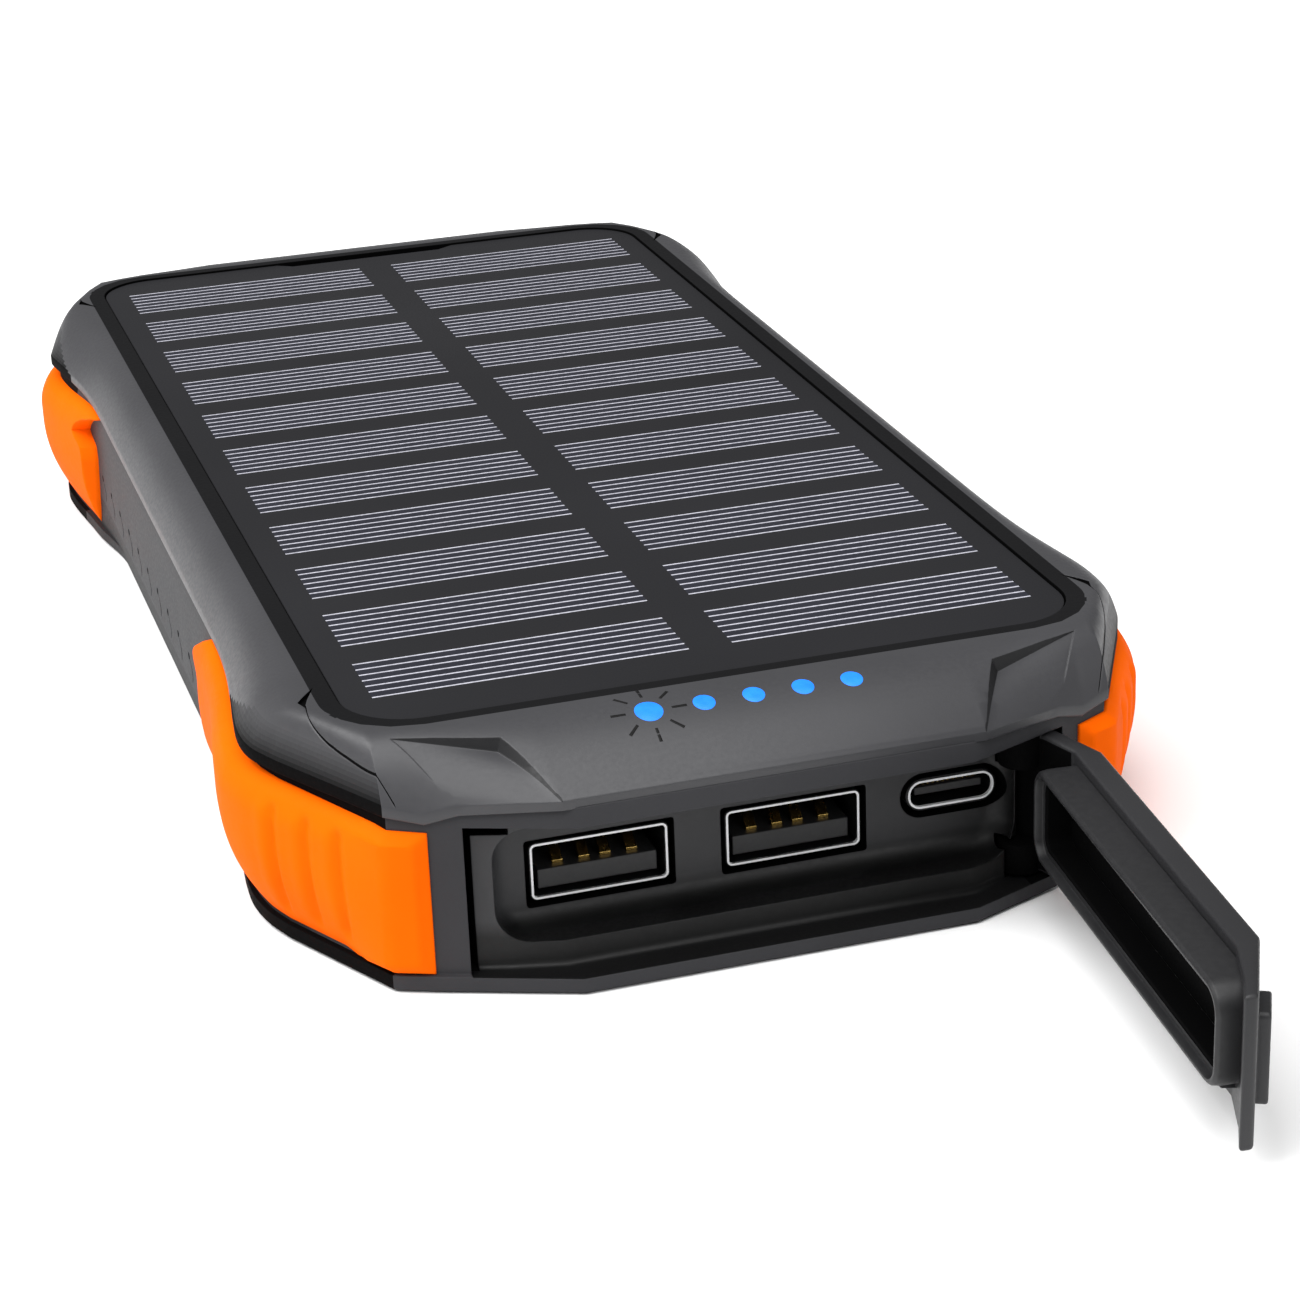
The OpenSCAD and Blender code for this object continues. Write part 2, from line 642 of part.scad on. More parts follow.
top_shell();
bottom_shell();
bumper_front_left();
bumper_front_right();
bumper_rear_left();
bumper_rear_right();
panel_backing();
solar_cells();
cell_fingers();
panel_cover();
light_guide();
indicator_leds();
main_board();
usb_a_left_shell();
usb_a_left_insulator();
usb_a_left_contacts();
usb_a_right_shell();
usb_a_right_insulator();
usb_a_right_contacts();
usb_c_shell();
usb_c_tongue();
usb_c_contacts();
controller_chips();
power_inductors();
filter_capacitors();
battery_connector();
battery_cell_lower();
battery_cell_upper();
cell_spacer_tape();
battery_tabs();
protection_board();
battery_leads();
panel_leads();
foam_pads();
port_lid();
lid_seal();
hinge_pins();
power_button();
switch_plunger();
switch_body();
switch_board();
case_screws();
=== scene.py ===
import bpy
import bmesh
import math
from mathutils import Matrix, Vector
from mathutils.bvhtree import BVHTree


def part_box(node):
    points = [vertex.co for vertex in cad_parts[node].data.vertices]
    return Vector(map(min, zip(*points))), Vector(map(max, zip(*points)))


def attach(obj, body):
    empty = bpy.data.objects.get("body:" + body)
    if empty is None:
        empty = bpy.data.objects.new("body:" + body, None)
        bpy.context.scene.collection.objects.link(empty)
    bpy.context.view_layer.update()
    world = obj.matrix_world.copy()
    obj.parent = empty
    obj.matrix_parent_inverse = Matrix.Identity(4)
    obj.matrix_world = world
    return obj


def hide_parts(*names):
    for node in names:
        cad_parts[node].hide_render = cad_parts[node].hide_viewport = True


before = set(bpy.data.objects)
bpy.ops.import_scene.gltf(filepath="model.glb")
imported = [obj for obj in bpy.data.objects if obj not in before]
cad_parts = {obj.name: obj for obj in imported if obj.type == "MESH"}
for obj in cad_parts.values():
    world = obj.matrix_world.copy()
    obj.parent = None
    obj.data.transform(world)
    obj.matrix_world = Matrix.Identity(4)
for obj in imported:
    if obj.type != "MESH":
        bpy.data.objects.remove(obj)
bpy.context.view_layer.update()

# All lengths below are in millimetres in the frame's own axes: -Y is the socket end.
MM = 0.001


def edge_mm(node, side, axis):
    """Low (0) or high (1) side of a node's box"""
    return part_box(node)[side]["xyz".index(axis)] / MM


def middle_mm(node, axis):
    return (edge_mm(node, 0, axis) + edge_mm(node, 1, axis)) / 2


SPLIT_Z = edge_mm("top_shell", 0, "z")
BODY_H = edge_mm("top_shell", 1, "z")
PANEL_X = edge_mm("panel_backing", 1, "x")
PANEL_Y = edge_mm("panel_backing", 1, "y")
PANEL_TOP = edge_mm("panel_cover", 1, "z")
PANEL_FLOOR = edge_mm("panel_backing", 0, "z")
# half length of the case, half width at its waist, and where the flat of an end turns back
FRONT = 88.0
SIDE = 41.2
KINK_X = 18.6


# ---- materials ------------------------------------------------------------------
def new_material(name):
    m = bpy.data.materials.new(name)
    m.use_nodes = True
    return m, m.node_tree.nodes, m.node_tree.links, m.node_tree.nodes["Principled BSDF"]


def noise_node(n, l, scale, detail=3.0):
    coord = n.new("ShaderNodeTexCoord")
    tex = n.new("ShaderNodeTexNoise")
    tex.inputs["Scale"].default_value = scale
    tex.inputs["Detail"].default_value = detail
    l.new(coord.outputs["Object"], tex.inputs["Vector"])
    return tex


def ranged(n, l, source, lo, hi, a=0.3, b=0.7):
    r = n.new("ShaderNodeMapRange")
    r.inputs["From Min"].default_value = a
    r.inputs["From Max"].default_value = b
    r.inputs["To Min"].default_value = lo
    r.inputs["To Max"].default_value = hi
    l.new(source, r.inputs["Value"])
    return r.outputs["Result"]


def blend_colour(n, l, factor, a, b):
    mix = n.new("ShaderNodeMix")
    mix.data_type = "RGBA"
    l.new(factor, mix.inputs["Factor"])
    for socket, value in ((mix.inputs["A"], a), (mix.inputs["B"], b)):
        if isinstance(value, tuple):
            socket.default_value = (*value, 1)
        else:
            l.new(value, socket)
    return mix.outputs["Result"]


def scaled(colour, k):
    return tuple(c * k for c in colour)


def product(n, l, a, b):
    both = n.new("ShaderNodeMath")
    both.operation = "MULTIPLY"
    l.new(a, both.inputs[0])
    l.new(b, both.inputs[1])
    return both.outputs[0]


def bumped(n, l, height, strength, depth_mm, normal=None):
    bump = n.new("ShaderNodeBump")
    bump.inputs["Strength"].default_value = strength
    bump.inputs["Distance"].default_value = depth_mm * MM
    l.new(height, bump.inputs["Height"])
    if normal:
        l.new(normal, bump.inputs["Normal"])
    return bump.outputs["Normal"]


def ramp_product(n, l, ramps):
    """Product of 0-to-1 ramps in millimetres over the size of a coordinate, or over the signed
    coordinate where the axis is written with a plus"""
    coord = n.new("ShaderNodeTexCoord")
    split = n.new("ShaderNodeSeparateXYZ")
    l.new(coord.outputs["Object"], split.inputs[0])
    total = None
    for axis, a, b in ramps:
        size = n.new("ShaderNodeMath")
        size.operation = "ADD" if axis[0] == "+" else "ABSOLUTE"
        size.inputs[1].default_value = 0
        l.new(split.outputs[axis[-1]], size.inputs[0])
        rising = a < b
        value = ranged(n, l, size.outputs[0], 0 if rising else 1, 1 if rising else 0,
                       min(a, b) * MM, max(a, b) * MM)
        total = product(n, l, total, value) if total else value
    return total


def moulded(name, colour, rough, grain=2600, bump=0.12, wear=0.5, round_mm=0.22, metal=0.0,
            specular=0.5, tint=None, spread=0.08, painted_shades=()):
    """Moulded or pressed surface: mottled colour, fine grain, rounded and slightly rubbed edges.
    Each painted shade darkens the colour to a share of itself where every (axis, from, to) ramp is past"""
    m, n, l, b = new_material(name)
    cloud = noise_node(n, l, 55, 4)
    speck = noise_node(n, l, grain, 2)
    base = blend_colour(n, l, ranged(n, l, cloud.outputs["Fac"], 0, 1),
                        scaled(colour, 1 - spread), tint or scaled(colour, 1 + spread))
    corner = n.new("ShaderNodeBevel")
    corner.samples = 6
    corner.inputs["Radius"].default_value = round_mm * MM
    flat = n.new("ShaderNodeNewGeometry")
    dot = n.new("ShaderNodeVectorMath")
    dot.operation = "DOT_PRODUCT"
    l.new(corner.outputs["Normal"], dot.inputs[0])
    l.new(flat.outputs["Normal"], dot.inputs[1])
    rubbed = ranged(n, l, dot.outputs["Value"], wear, 0, 0.86, 0.995)
    patchy = product(n, l, rubbed, ranged(n, l, noise_node(n, l, 400, 3).outputs["Fac"], 0.3, 1))
    base = blend_colour(n, l, patchy, base, scaled(colour, 1.7))
    for share, ramps in painted_shades:
        base = blend_colour(n, l, ramp_product(n, l, ramps), base, scaled(colour, share))
    l.new(base, b.inputs["Base Color"])
    l.new(ranged(n, l, speck.outputs["Fac"], rough - 0.05, rough + 0.06), b.inputs["Roughness"])
    l.new(bumped(n, l, speck.outputs["Fac"], bump, 0.05, corner.outputs["Normal"]), b.inputs["Normal"])
    b.inputs["Metallic"].default_value = metal
    b.inputs["Specular IOR Level"].default_value = specular
    return m


SHELL_TONE = (0.040, 0.040, 0.0435)
LIP_STEPS = 7


def lip_shade_grey(k):
    """Shell grey with painted shade, for band k of the bands that darken down to the lip"""
    share = (k + 0.5) / LIP_STEPS
    return moulded(f"lip_shade_grey_{k}", scaled(SHELL_TONE, 0.05 + 0.9 * share), 0.5, wear=0.3,
                   specular=0.05 + 0.33 * share)


GREY = moulded("shell_grey", SHELL_TONE, 0.42, specular=0.4)
# lower shell grey; its ramps paint shade on the band along the foot of each side at the waist
WALL_GREY = moulded("wall_grey", (0.034, 0.034, 0.037), 0.6, specular=0.14,
                    painted_shades=[(0.5, [("X", 39.6, 39.9), ("Z", 5.85, 5.7)])])
FRAME_GREY = moulded("frame_grey", (0.007, 0.007, 0.0076), 0.6, wear=0.3, specular=0.06)
# socket recess grey, with painted shade low in the recess and towards the hinge end
PORT_GREY = moulded("port_grey", (0.031, 0.031, 0.033), 0.45, specular=0.3,
                    painted_shades=[(0.08, [("Z", 6.2, 4.6)]), (0.12, [("+X", 17, 24.5)])])
LIP_SHADE_GREYS = [lip_shade_grey(k) for k in range(LIP_STEPS)]
SHADE = moulded("shadow_grey", (0.009, 0.009, 0.010), 0.5, wear=0.3, specular=0.3)
LID_GREY = moulded("lid_grey", (0.019, 0.019, 0.0205), 0.42, specular=0.35)
# near-black with little gloss for painted shadow: bands round the corners, and the faces inside cuts,
# holes, grooves and hollows
SHADOW_BLACK = moulded("painted_shadow_black", (0.0014, 0.0014, 0.0015), 0.75, wear=0.0, specular=0.04)
SEAL = moulded("seal_rubber", (0.011, 0.011, 0.012), 0.5, grain=1500, wear=0.6, specular=0.4)
SOOT = moulded("socket_nylon", (0.02, 0.02, 0.021), 0.55, wear=0.3)
ORANGE = moulded("bumper_orange", (0.95, 0.122, 0.0004), 0.65, grain=1900, bump=0.10, wear=0.12,
                 round_mm=0.35, tint=(1.0, 0.137, 0.001), specular=0.02)
GOLD = moulded("contact_gold", (0.83, 0.55, 0.16), 0.22, metal=1.0, wear=0.2, round_mm=0.05)
SOCKET = moulded("socket_dark", (0.006, 0.006, 0.0065), 0.4, wear=0.0, specular=0.3)
RIM = moulded("socket_rim", (0.92, 0.93, 0.94), 0.35, wear=0.0, round_mm=0.03, spread=0.03)
STEEL = moulded("bright_steel", (0.80, 0.81, 0.83), 0.2, metal=1.0, wear=0.2, round_mm=0.06)
FERRITE = moulded("ferrite", (0.05, 0.05, 0.055), 0.6)
MASK = moulded("solder_mask", (0.012, 0.10, 0.045), 0.35)
FOIL = moulded("pouch_foil", (0.6, 0.62, 0.66), 0.35, metal=0.8, bump=0.5, grain=500)
TAPE = moulded("pale_tape", (0.8, 0.76, 0.62), 0.8)
RED = moulded("lead_red", (0.45, 0.02, 0.015), 0.45)
TAN = moulded("capacitor_tan", (0.40, 0.28, 0.14), 0.5)
NYLON = moulded("nylon_white", (0.75, 0.74, 0.68), 0.5)
INK = moulded("printed_black", (0.004, 0.004, 0.004), 0.6, wear=0.0, specular=0.2)


def panel_material():
    m, n, l, b = new_material("panel_laminate")
    cloud = noise_node(n, l, 18, 3)
    fine = noise_node(n, l, 5200, 2)
    l.new(blend_colour(n, l, ranged(n, l, cloud.outputs["Fac"], 0, 1),
                       (0.012, 0.012, 0.0135), (0.016, 0.016, 0.018)), b.inputs["Base Color"])
    l.new(ranged(n, l, fine.outputs["Fac"], 0.50, 0.60), b.inputs["Roughness"])
    l.new(bumped(n, l, fine.outputs["Fac"], 0.15, 0.02), b.inputs["Normal"])
    b.inputs["Specular IOR Level"].default_value = 0.12
    return m


def silicon_material():
    m, n, l, b = new_material("silicon_strip")
    coord = n.new("ShaderNodeTexCoord")
    crystal = n.new("ShaderNodeTexVoronoi")
    crystal.inputs["Scale"].default_value = 260
    l.new(coord.outputs["Object"], crystal.inputs["Vector"])
    grain = noise_node(n, l, 900, 4)
    tone = blend_colour(n, l, ranged(n, l, crystal.outputs["Distance"], 0, 1, 0.0, 0.9),
                        (0.014, 0.0145, 0.021), (0.018, 0.019, 0.027))
    l.new(blend_colour(n, l, ranged(n, l, grain.outputs["Fac"], 0, 0.4), tone,
                       (0.022, 0.022, 0.031)), b.inputs["Base Color"])
    l.new(ranged(n, l, grain.outputs["Fac"], 0.42, 0.55), b.inputs["Roughness"])
    b.inputs["Specular IOR Level"].default_value = 0.15
    return m


def silver_material():
    m, n, l, b = new_material("silver_paste")
    grain = noise_node(n, l, 3000, 3)
    l.new(blend_colour(n, l, ranged(n, l, grain.outputs["Fac"], 0, 1),
                       (0.38, 0.38, 0.43), (0.58, 0.58, 0.65)), b.inputs["Base Color"])
    l.new(ranged(n, l, grain.outputs["Fac"], 0.4, 0.6), b.inputs["Roughness"])
    b.inputs["Metallic"].default_value = 0.1
    return m


def lamp_material():
    m, n, l, b = new_material("lamp_blue")
    haze = noise_node(n, l, 700, 3)
    blue = blend_colour(n, l, ranged(n, l, haze.outputs["Fac"], 0, 1),
                        (0.006, 0.17, 0.9), (0.012, 0.215, 1.0))
    l.new(blue, b.inputs["Base Color"])
    l.new(blue, b.inputs["Emission Color"])
    b.inputs["Emission Strength"].default_value = 0.30
    b.inputs["Roughness"].default_value = 0.35
    return m


PANEL = panel_material()
SILICON = silicon_material()
SILVER = silver_material()
LAMP = lamp_material()


# ---- mesh helpers ---------------------------------------------------------------
def make(name, verts, faces, *mats):
    """Mesh object from points in millimetres"""
    me = bpy.data.meshes.new(name)
    me.from_pydata([Vector(v) * MM for v in verts], [], faces)
    ob = bpy.data.objects.new(name, me)
    bpy.context.scene.collection.objects.link(ob)
    for m in mats:
        me.materials.append(m)
    bm = bmesh.new()
    bm.from_mesh(me)
    bmesh.ops.recalc_face_normals(bm, faces=bm.faces)
    bm.to_mesh(me)
    bm.free()
    return ob


def settle(ob, body="body", angle=32, nodes=()):
    """Smooth shading with sharp edges, and the body and nodes that the piece belongs to"""
    for p in ob.data.polygons:
        p.use_smooth = True
    ob.data.set_sharp_from_angle(angle=math.radians(angle))
    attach(ob, body)
    if nodes:
        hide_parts(*nodes)
    return ob


def bake(ob):
    graph = bpy.context.evaluated_depsgraph_get()
    new = bpy.data.meshes.new_from_object(ob.evaluated_get(graph))
    old = ob.data
    ob.modifiers.clear()
    ob.data = new
    bpy.data.meshes.remove(old)
    return ob


def combine(target, other, how="DIFFERENCE"):
    mod = target.modifiers.new("combine", "BOOLEAN")
    mod.object = other
    mod.operation = how
    mod.solver = "EXACT"
    mod.material_mode = "TRANSFER"
    bake(target)
    bpy.data.objects.remove(other)
    return target


def rounded(ob, width, segments=2, angle=30):
    mod = ob.modifiers.new("round", "BEVEL")
    mod.width = width * MM
    mod.segments = segments
    mod.limit_method = "ANGLE"
    mod.angle_limit = math.radians(angle)
    return bake(ob)


def prism(name, points, lo, hi, mat, axis="z"):
    """Outline points extruded along an axis: z takes (x, y), y takes (x, z), x takes (y, z)"""
    place = {"z": lambda a, b, c: (a, b, c), "y": lambda a, b, c: (a, c, b),
             "x": lambda a, b, c: (c, a, b)}[axis]
    k = len(points)
    verts = [place(p[0], p[1], lo) for p in points] + [place(p[0], p[1], hi) for p in points]
    faces = [list(range(k))[::-1], list(range(k, 2 * k))]
    faces += [[i, (i + 1) % k, k + (i + 1) % k, k + i] for i in range(k)]
    return make(name, verts, faces, mat)


def block(name, x, y, z, mat):
    return prism(name, [(x[0], y[0]), (x[1], y[0]), (x[1], y[1]), (x[0], y[1])], *z, mat)


def circle(cx, cy, r, count):
    return [(cx + r * math.cos(a), cy + r * math.sin(a))
            for a in (2 * math.pi * i / count for i in range(count))]


def round_rect(cx, cz, w, h, r, steps=8):
    out = []
    for qx, qz, start in ((1, 1, 0), (-1, 1, 90), (-1, -1, 180), (1, -1, 270)):
        for i in range(steps + 1):
            a = math.radians(start + 90 * i / steps)
            out.append((cx + qx * (w / 2 - r) + r * math.cos(a),
                        cz + qz * (h / 2 - r) + r * math.sin(a)))
    return out


def loft(name, rings, *mats, cap=True):
    k = len(rings[0])
    verts = [p for ring in rings for p in ring]
    faces = [[j * k + i, j * k + (i + 1) % k, (j + 1) * k + (i + 1) % k, (j + 1) * k + i]
             for j in range(len(rings) - 1) for i in range(k)]
    if cap:
        faces += [list(range(k))[::-1], [(len(rings) - 1) * k + i for i in range(k)]]
    return make(name, verts, faces, *mats)


def slab(name, first, second, rows, cols, *mats):
    """Closed shell between two grids of points; also gives the number of its first rim face"""
    k, m = cols + 1, len(first)
    faces = [[r * k + c, r * k + c + 1, (r + 1) * k + c + 1, (r + 1) * k + c]
             for r in range(rows) for c in range(cols)]
    faces += [[m + i for i in f[::-1]] for f in faces]
    rim = (list(range(k)) + [r * k + cols for r in range(1, rows + 1)]
           + [rows * k + c for c in range(cols - 1, -1, -1)] + [r * k for r in range(rows - 1, 0, -1)])
    rim_start = len(faces)
    faces += [[a, m + a, m + b, b] for a, b in zip(rim, rim[1:] + rim[:1])]
    return make(name, first + second, faces, *mats), rim_start


def slot_of(ob, m):
    """Number of a material on an object, added to it where it isn't there yet"""
    if m not in list(ob.data.materials):
        ob.data.materials.append(m)
    return list(ob.data.materials).index(m)


def join(name, obs):
    verts, faces, mats, index = [], [], [], []
    for ob in obs:
        base = len(verts)
        verts += [v.co.copy() for v in ob.data.vertices]
        slots = []
        for m in ob.data.materials:
            if m not in mats:
                mats.append(m)
            slots.append(mats.index(m))
        for p in ob.data.polygons:
            faces.append([base + i for i in p.vertices])
            index.append(slots[p.material_index] if slots else 0)
        bpy.data.objects.remove(ob)
    me = bpy.data.meshes.new(name)
    me.from_pydata(verts, [], faces)
    for m in mats:
        me.materials.append(m)
    me.polygons.foreach_set("material_index", index)
    ob = bpy.data.objects.new(name, me)
    bpy.context.scene.collection.objects.link(ob)
    return ob


def smooth(t):
    """Eased step from 0 to 1"""
    t = min(1.0, max(0.0, t))
    return t * t * (3 - 2 * t)


def lerp(a, b, t):
    return a + (b - a) * t


def interpolate(x, knots):
    """Value at x on the straight pieces between (x, value) knots in rising x"""
    if x <= knots[0][0]:
        return knots[0][1]
    for (x0, v0), (x1, v1) in zip(knots, knots[1:]):
        if x <= x1:
            return lerp(v0, v1, (x - x0) / (x1 - x0))
    return knots[-1][1]


def spline(points, straight, steps):
    """Straight pieces up to point number `straight`, then a Catmull-Rom curve"""
    out = []
    n = len(points)
    for i in range(n - 1):
        p0, p1, p2, p3 = (points[max(0, i - 1)], points[i], points[i + 1], points[min(n - 1, i + 2)])
        if i <= straight:
            p0 = tuple(2 * a - b for a, b in zip(p1, p2))
        for s in range(steps):
            t = s / steps
            if i < straight:
                out.append(tuple(lerp(a, b, t) for a, b in zip(p1, p2)))
            else:
                out.append(tuple(
                    0.5 * (2 * b + (c - a) * t + (2 * a - 5 * b + 4 * c - d) * t * t
                           + (3 * b - a - 3 * c + d) * t ** 3)
                    for a, b, c, d in zip(p0, p1, p2, p3)))
    out.append(tuple(points[-1]))
    return out


def normals(path):
    """Outward unit vectors along a path round the right front quarter"""
    out = []
    for i in range(len(path)):
        a, b = path[max(0, i - 1)], path[min(len(path) - 1, i + 1)]
        d = Vector((b[0] - a[0], b[1] - a[1]))
        v = Vector((-d.y, d.x)).normalized()
        out.append(v if v.x * path[i][0] >= 0 and (v.y >= -0.5) else -v)
    return out


def whole(quarter):
    """Mirrors a right front quarter, given as (x, distance forward, z), all the way round"""
    return ([(x, -y, z) for x, y, z in quarter] + [(x, y, z) for x, y, z in reversed(quarter)]
            + [(-x, y, z) for x, y, z in quarter] + [(-x, -y, z) for x, y, z in reversed(quarter)])


# ---- lower shell ----------------------------------------------------------------
WALL = [(KINK_X, FRONT), (SIDE - 10.3, FRONT - 5.1), (SIDE - 7, FRONT - 6.6),
        (SIDE - 0.2, FRONT - 20), (SIDE + 0.9, FRONT - 23.2), (SIDE + 1.5, FRONT - 27),
        (SIDE + 1.4, FRONT - 31), (SIDE + 1.0, FRONT - 35), (SIDE + 0.3, FRONT - 41),
        (SIDE, FRONT - 46), (SIDE, FRONT - 58), (SIDE, FRONT - 76)]
wall_path = spline(WALL, 3, 6)
wall_out = normals(wall_path)
# the corners' own offsets fade to the waist's over this stretch of y
WAIST_FROM, WAIST_FADE = 46, 12
# height of each ring of the wall, and how far it stands out at the corners and at the waist
WALL_RINGS = [(0, 0.15, -1.25), (0.35, 0.5, -1.1), (1.65, 0.5, -0.85), (1.72, 0.0, -0.84),
              (5.8, 0, 0), (15.5, 0, 0), (16.9, 0, 0), (SPLIT_Z, -0.25, -0.12)]
# faces farther out than this lie behind or above a bumper
CORNER_X, CORNER_Y = 34.4, 51.0


def wall_ring(z, corner, waist):
    ring = []
    for p, v in zip(wall_path, wall_out):
        d = lerp(corner, waist, smooth((WAIST_FROM - p[1]) / WAIST_FADE))
        ring.append((p[0] + v.x * d, p[1] + v.y * d, z))
    return whole(ring)


def at_corner(c, start):
    return abs(c.x) > CORNER_X and abs(c.y) > start


lower = loft("lower_shell", [wall_ring(*ring) for ring in WALL_RINGS], WALL_GREY)

# socket recess: a shallow step all round, and a deeper pocket that holds the sockets
HINGE = (25.4, -82.4)
OPEN_Z = (1.6, 16.1)
OPEN_LEFT, OPEN_RIGHT = -28.0, 25.1
MID_Y = -85.2
STEP_BACK = [(OPEN_LEFT, -82.6), (-24.6, -83.8), (-19.5, MID_Y), (19.5, MID_Y), (23.5, -83.6)]
PORT_Y = -80.6
POCKET_X = (-25.4, 24.8)
POCKET_Z = (4.0, 15.2)
POCKET_R = 3.2
# the hinge: radius of its heel and of the bores for the lid's two knuckles, and their ends
HEEL_R, BORE_R = 3.8, 2.4
LOW_BORE_TOP, HIGH_BORE_FOOT = 5.2, 12.3


def fillet_edges(ob, r, steps, chosen):
    bm = bmesh.new()
    bm.from_mesh(ob.data)
    edges = [e for e in bm.edges if chosen([v.co / MM for v in e.verts])]
    bmesh.ops.bevel(bm, geom=edges, offset=r * MM, segments=steps, profile=0.5,
                    affect="EDGES", clamp_overlap=True)
    bm.to_mesh(ob.data)
    bm.free()
    return ob


def step_floor_edge(ends):
    on_floor = all(abs(c.z - OPEN_Z[0]) < 0.01 and c.y > MID_Y - 0.8 for c in ends)
    return on_floor and abs(ends[0].x - ends[1].x) > 3


def pocket_floor_edge(ends):
    return all(abs(c.y - PORT_Y) < 0.01 for c in ends)


shallow = prism("cut", [(OPEN_LEFT, -FRONT - 5)] + STEP_BACK
                + [(OPEN_RIGHT, -82.3), (OPEN_RIGHT, -FRONT - 5)], *OPEN_Z, PORT_GREY)
combine(lower, fillet_edges(shallow, 1.1, 4, step_floor_edge))
pocket_outline = round_rect(sum(POCKET_X) / 2, sum(POCKET_Z) / 2, POCKET_X[1] - POCKET_X[0],
                            POCKET_Z[1] - POCKET_Z[0], POCKET_R)
pocket = prism("cut", pocket_outline, -FRONT - 6, PORT_Y, PORT_GREY, "y")
combine(lower, fillet_edges(pocket, 2.3, 7, pocket_floor_edge))


def tube_at_hinge(z0, z1, r, name="cut"):
    return prism(name, circle(*HINGE, r, 48), z0, z1, SHADOW_BLACK)


heel = tube_at_hinge(*OPEN_Z, HEEL_R)
combine(heel, block("half", (OPEN_RIGHT - 0.05, 45), (-92, -70), (0, 20), SHADOW_BLACK), "INTERSECT")
combine(lower, heel)
combine(lower, tube_at_hinge(OPEN_Z[0], LOW_BORE_TOP, BORE_R))
combine(lower, tube_at_hinge(HIGH_BORE_FOOT, OPEN_Z[1], BORE_R))

# slot and notch at the free end
combine(lower, block("cut", (OPEN_LEFT, -27.1), (-90, -79.9), OPEN_Z, SHADOW_BLACK))
combine(lower, block("cut", (-27.2, -23.9), (-84.6, -80.4), (14.7, OPEN_Z[1]), SHADOW_BLACK))

USB_A = [middle_mm(f"usb_a_{s}_shell", "x") for s in ("left", "right")]
USB_A_Z = middle_mm("usb_a_left_shell", "z")
USB_C_X, USB_C_Z = middle_mm("usb_c_shell", "x"), middle_mm("usb_c_shell", "z")
USB_A_HOLE, USB_A_BACK = (14.1, 6.6, 0.3, 2), -65.6
USB_C_HOLE, USB_C_BACK = (10.2, 4.5, 2.2, 10), -72.6
for x in USB_A:
    combine(lower, prism("cut", round_rect(x, USB_A_Z, *USB_A_HOLE), -82, USB_A_BACK, SHADOW_BLACK, "y"))
combine(lower, prism("cut", round_rect(USB_C_X, USB_C_Z, *USB_C_HOLE), -82, USB_C_BACK, SHADOW_BLACK, "y"))

# button opening in the right wall, 0.25 mm clear of the cap all round
BUTTON_Y, BUTTON_Z = middle_mm("power_button", "y"), middle_mm("power_button", "z")
CAP_W, CAP_H, CAP_R = 12, 5, 2.45
button_hole = round_rect(BUTTON_Y, BUTTON_Z, CAP_W + 0.5, CAP_H + 0.5, CAP_R + 0.25, 10)
combine(lower, prism("cut", button_hole, SIDE - 5.9, SIDE + 1, SHADOW_BLACK, "x"))

# hooked grip grooves along each side: a pin-hole with a curved cut below it
HOOKS, HOOK_PITCH, HOOK_Y0 = 11, 6.63, -25.4
HOOK_TOP, HOOK_DROP, HOOK_W, HOOK_STEPS = 9.0, 2.5, 0.30, 8
DOT_R, DOT_Z = 0.4, 9.15
BUTTON_GAP = 9


def hook_cutter(side, y):
    front, back = [], []
    for i in range(HOOK_STEPS + 1):
        t = i / HOOK_STEPS
        bend = 0.95 * math.sin(t * math.pi * 0.86) + 0.25 * t
        half_w = HOOK_W * (0.35 + 0.65 * math.sin(math.pi * t)) / 2
        z = HOOK_TOP - HOOK_DROP * t
        front.append((y - 0.55 - bend - half_w, z))
        back.append((y - 0.55 - bend + half_w, z))
    x = side * SIDE
    return prism("cut", front + back[::-1], x - 0.5, x + 0.5, SHADOW_BLACK, "x")


def dot_cutter(side, y):
    return prism("cut", circle(y - 0.2, DOT_Z, DOT_R, 12), side * SIDE - 0.9, side * SIDE + 0.5, SHADOW_BLACK, "x")


hook_places = [(side, HOOK_Y0 + k * HOOK_PITCH) for side in (-1, 1) for k in range(HOOKS)]
hook_places = [(side, y) for side, y in hook_places if side < 0 or abs(y - BUTTON_Y) >= BUTTON_GAP]
combine(lower, join("cut", [hook_cutter(*place) for place in hook_places]))
combine(lower, join("cut", [dot_cutter(*place) for place in hook_places]))

# painted shadow: behind the bumpers the wall is given the near-black under the lip and at the foot
DARK_FOOT, DARK_HEAD = 1.8, 15.4
dark = slot_of(lower, SHADOW_BLACK)
for f in lower.data.polygons:
    c = f.center / MM
    if f.material_index == 0 and at_corner(c, CORNER_Y) and not DARK_FOOT <= c.z <= DARK_HEAD:
        f.material_index = dark
settle(lower, nodes=("bottom_shell",))

# small steps beside the slot, one high and one low: (x, y, z) ranges
STEPS = [((-27.0, -25.3), (-82.6, -80.5), (13.2, 14.6)), ((-27.0, -24.3), (-82.6, -81), (1.62, 3.3))]
settle(join("recess_steps", [rounded(block("s", *step, WALL_GREY), 0.12) for step in STEPS]))

# ---- upper shell ----------------------------------------------------------------
FRAME_X = PANEL_X + 2.0
FRAME_Y = PANEL_Y + 1.6
FRAME_R = 8.0
RIM_H = 0.9
SLOPE_ROWS = 22


def arc(deg):
    """Point on the rounded corner of the flat frame"""
    a = math.radians(deg)
    return (FRAME_X - FRAME_R + FRAME_R * math.sin(a), FRAME_Y - FRAME_R + FRAME_R * math.cos(a))


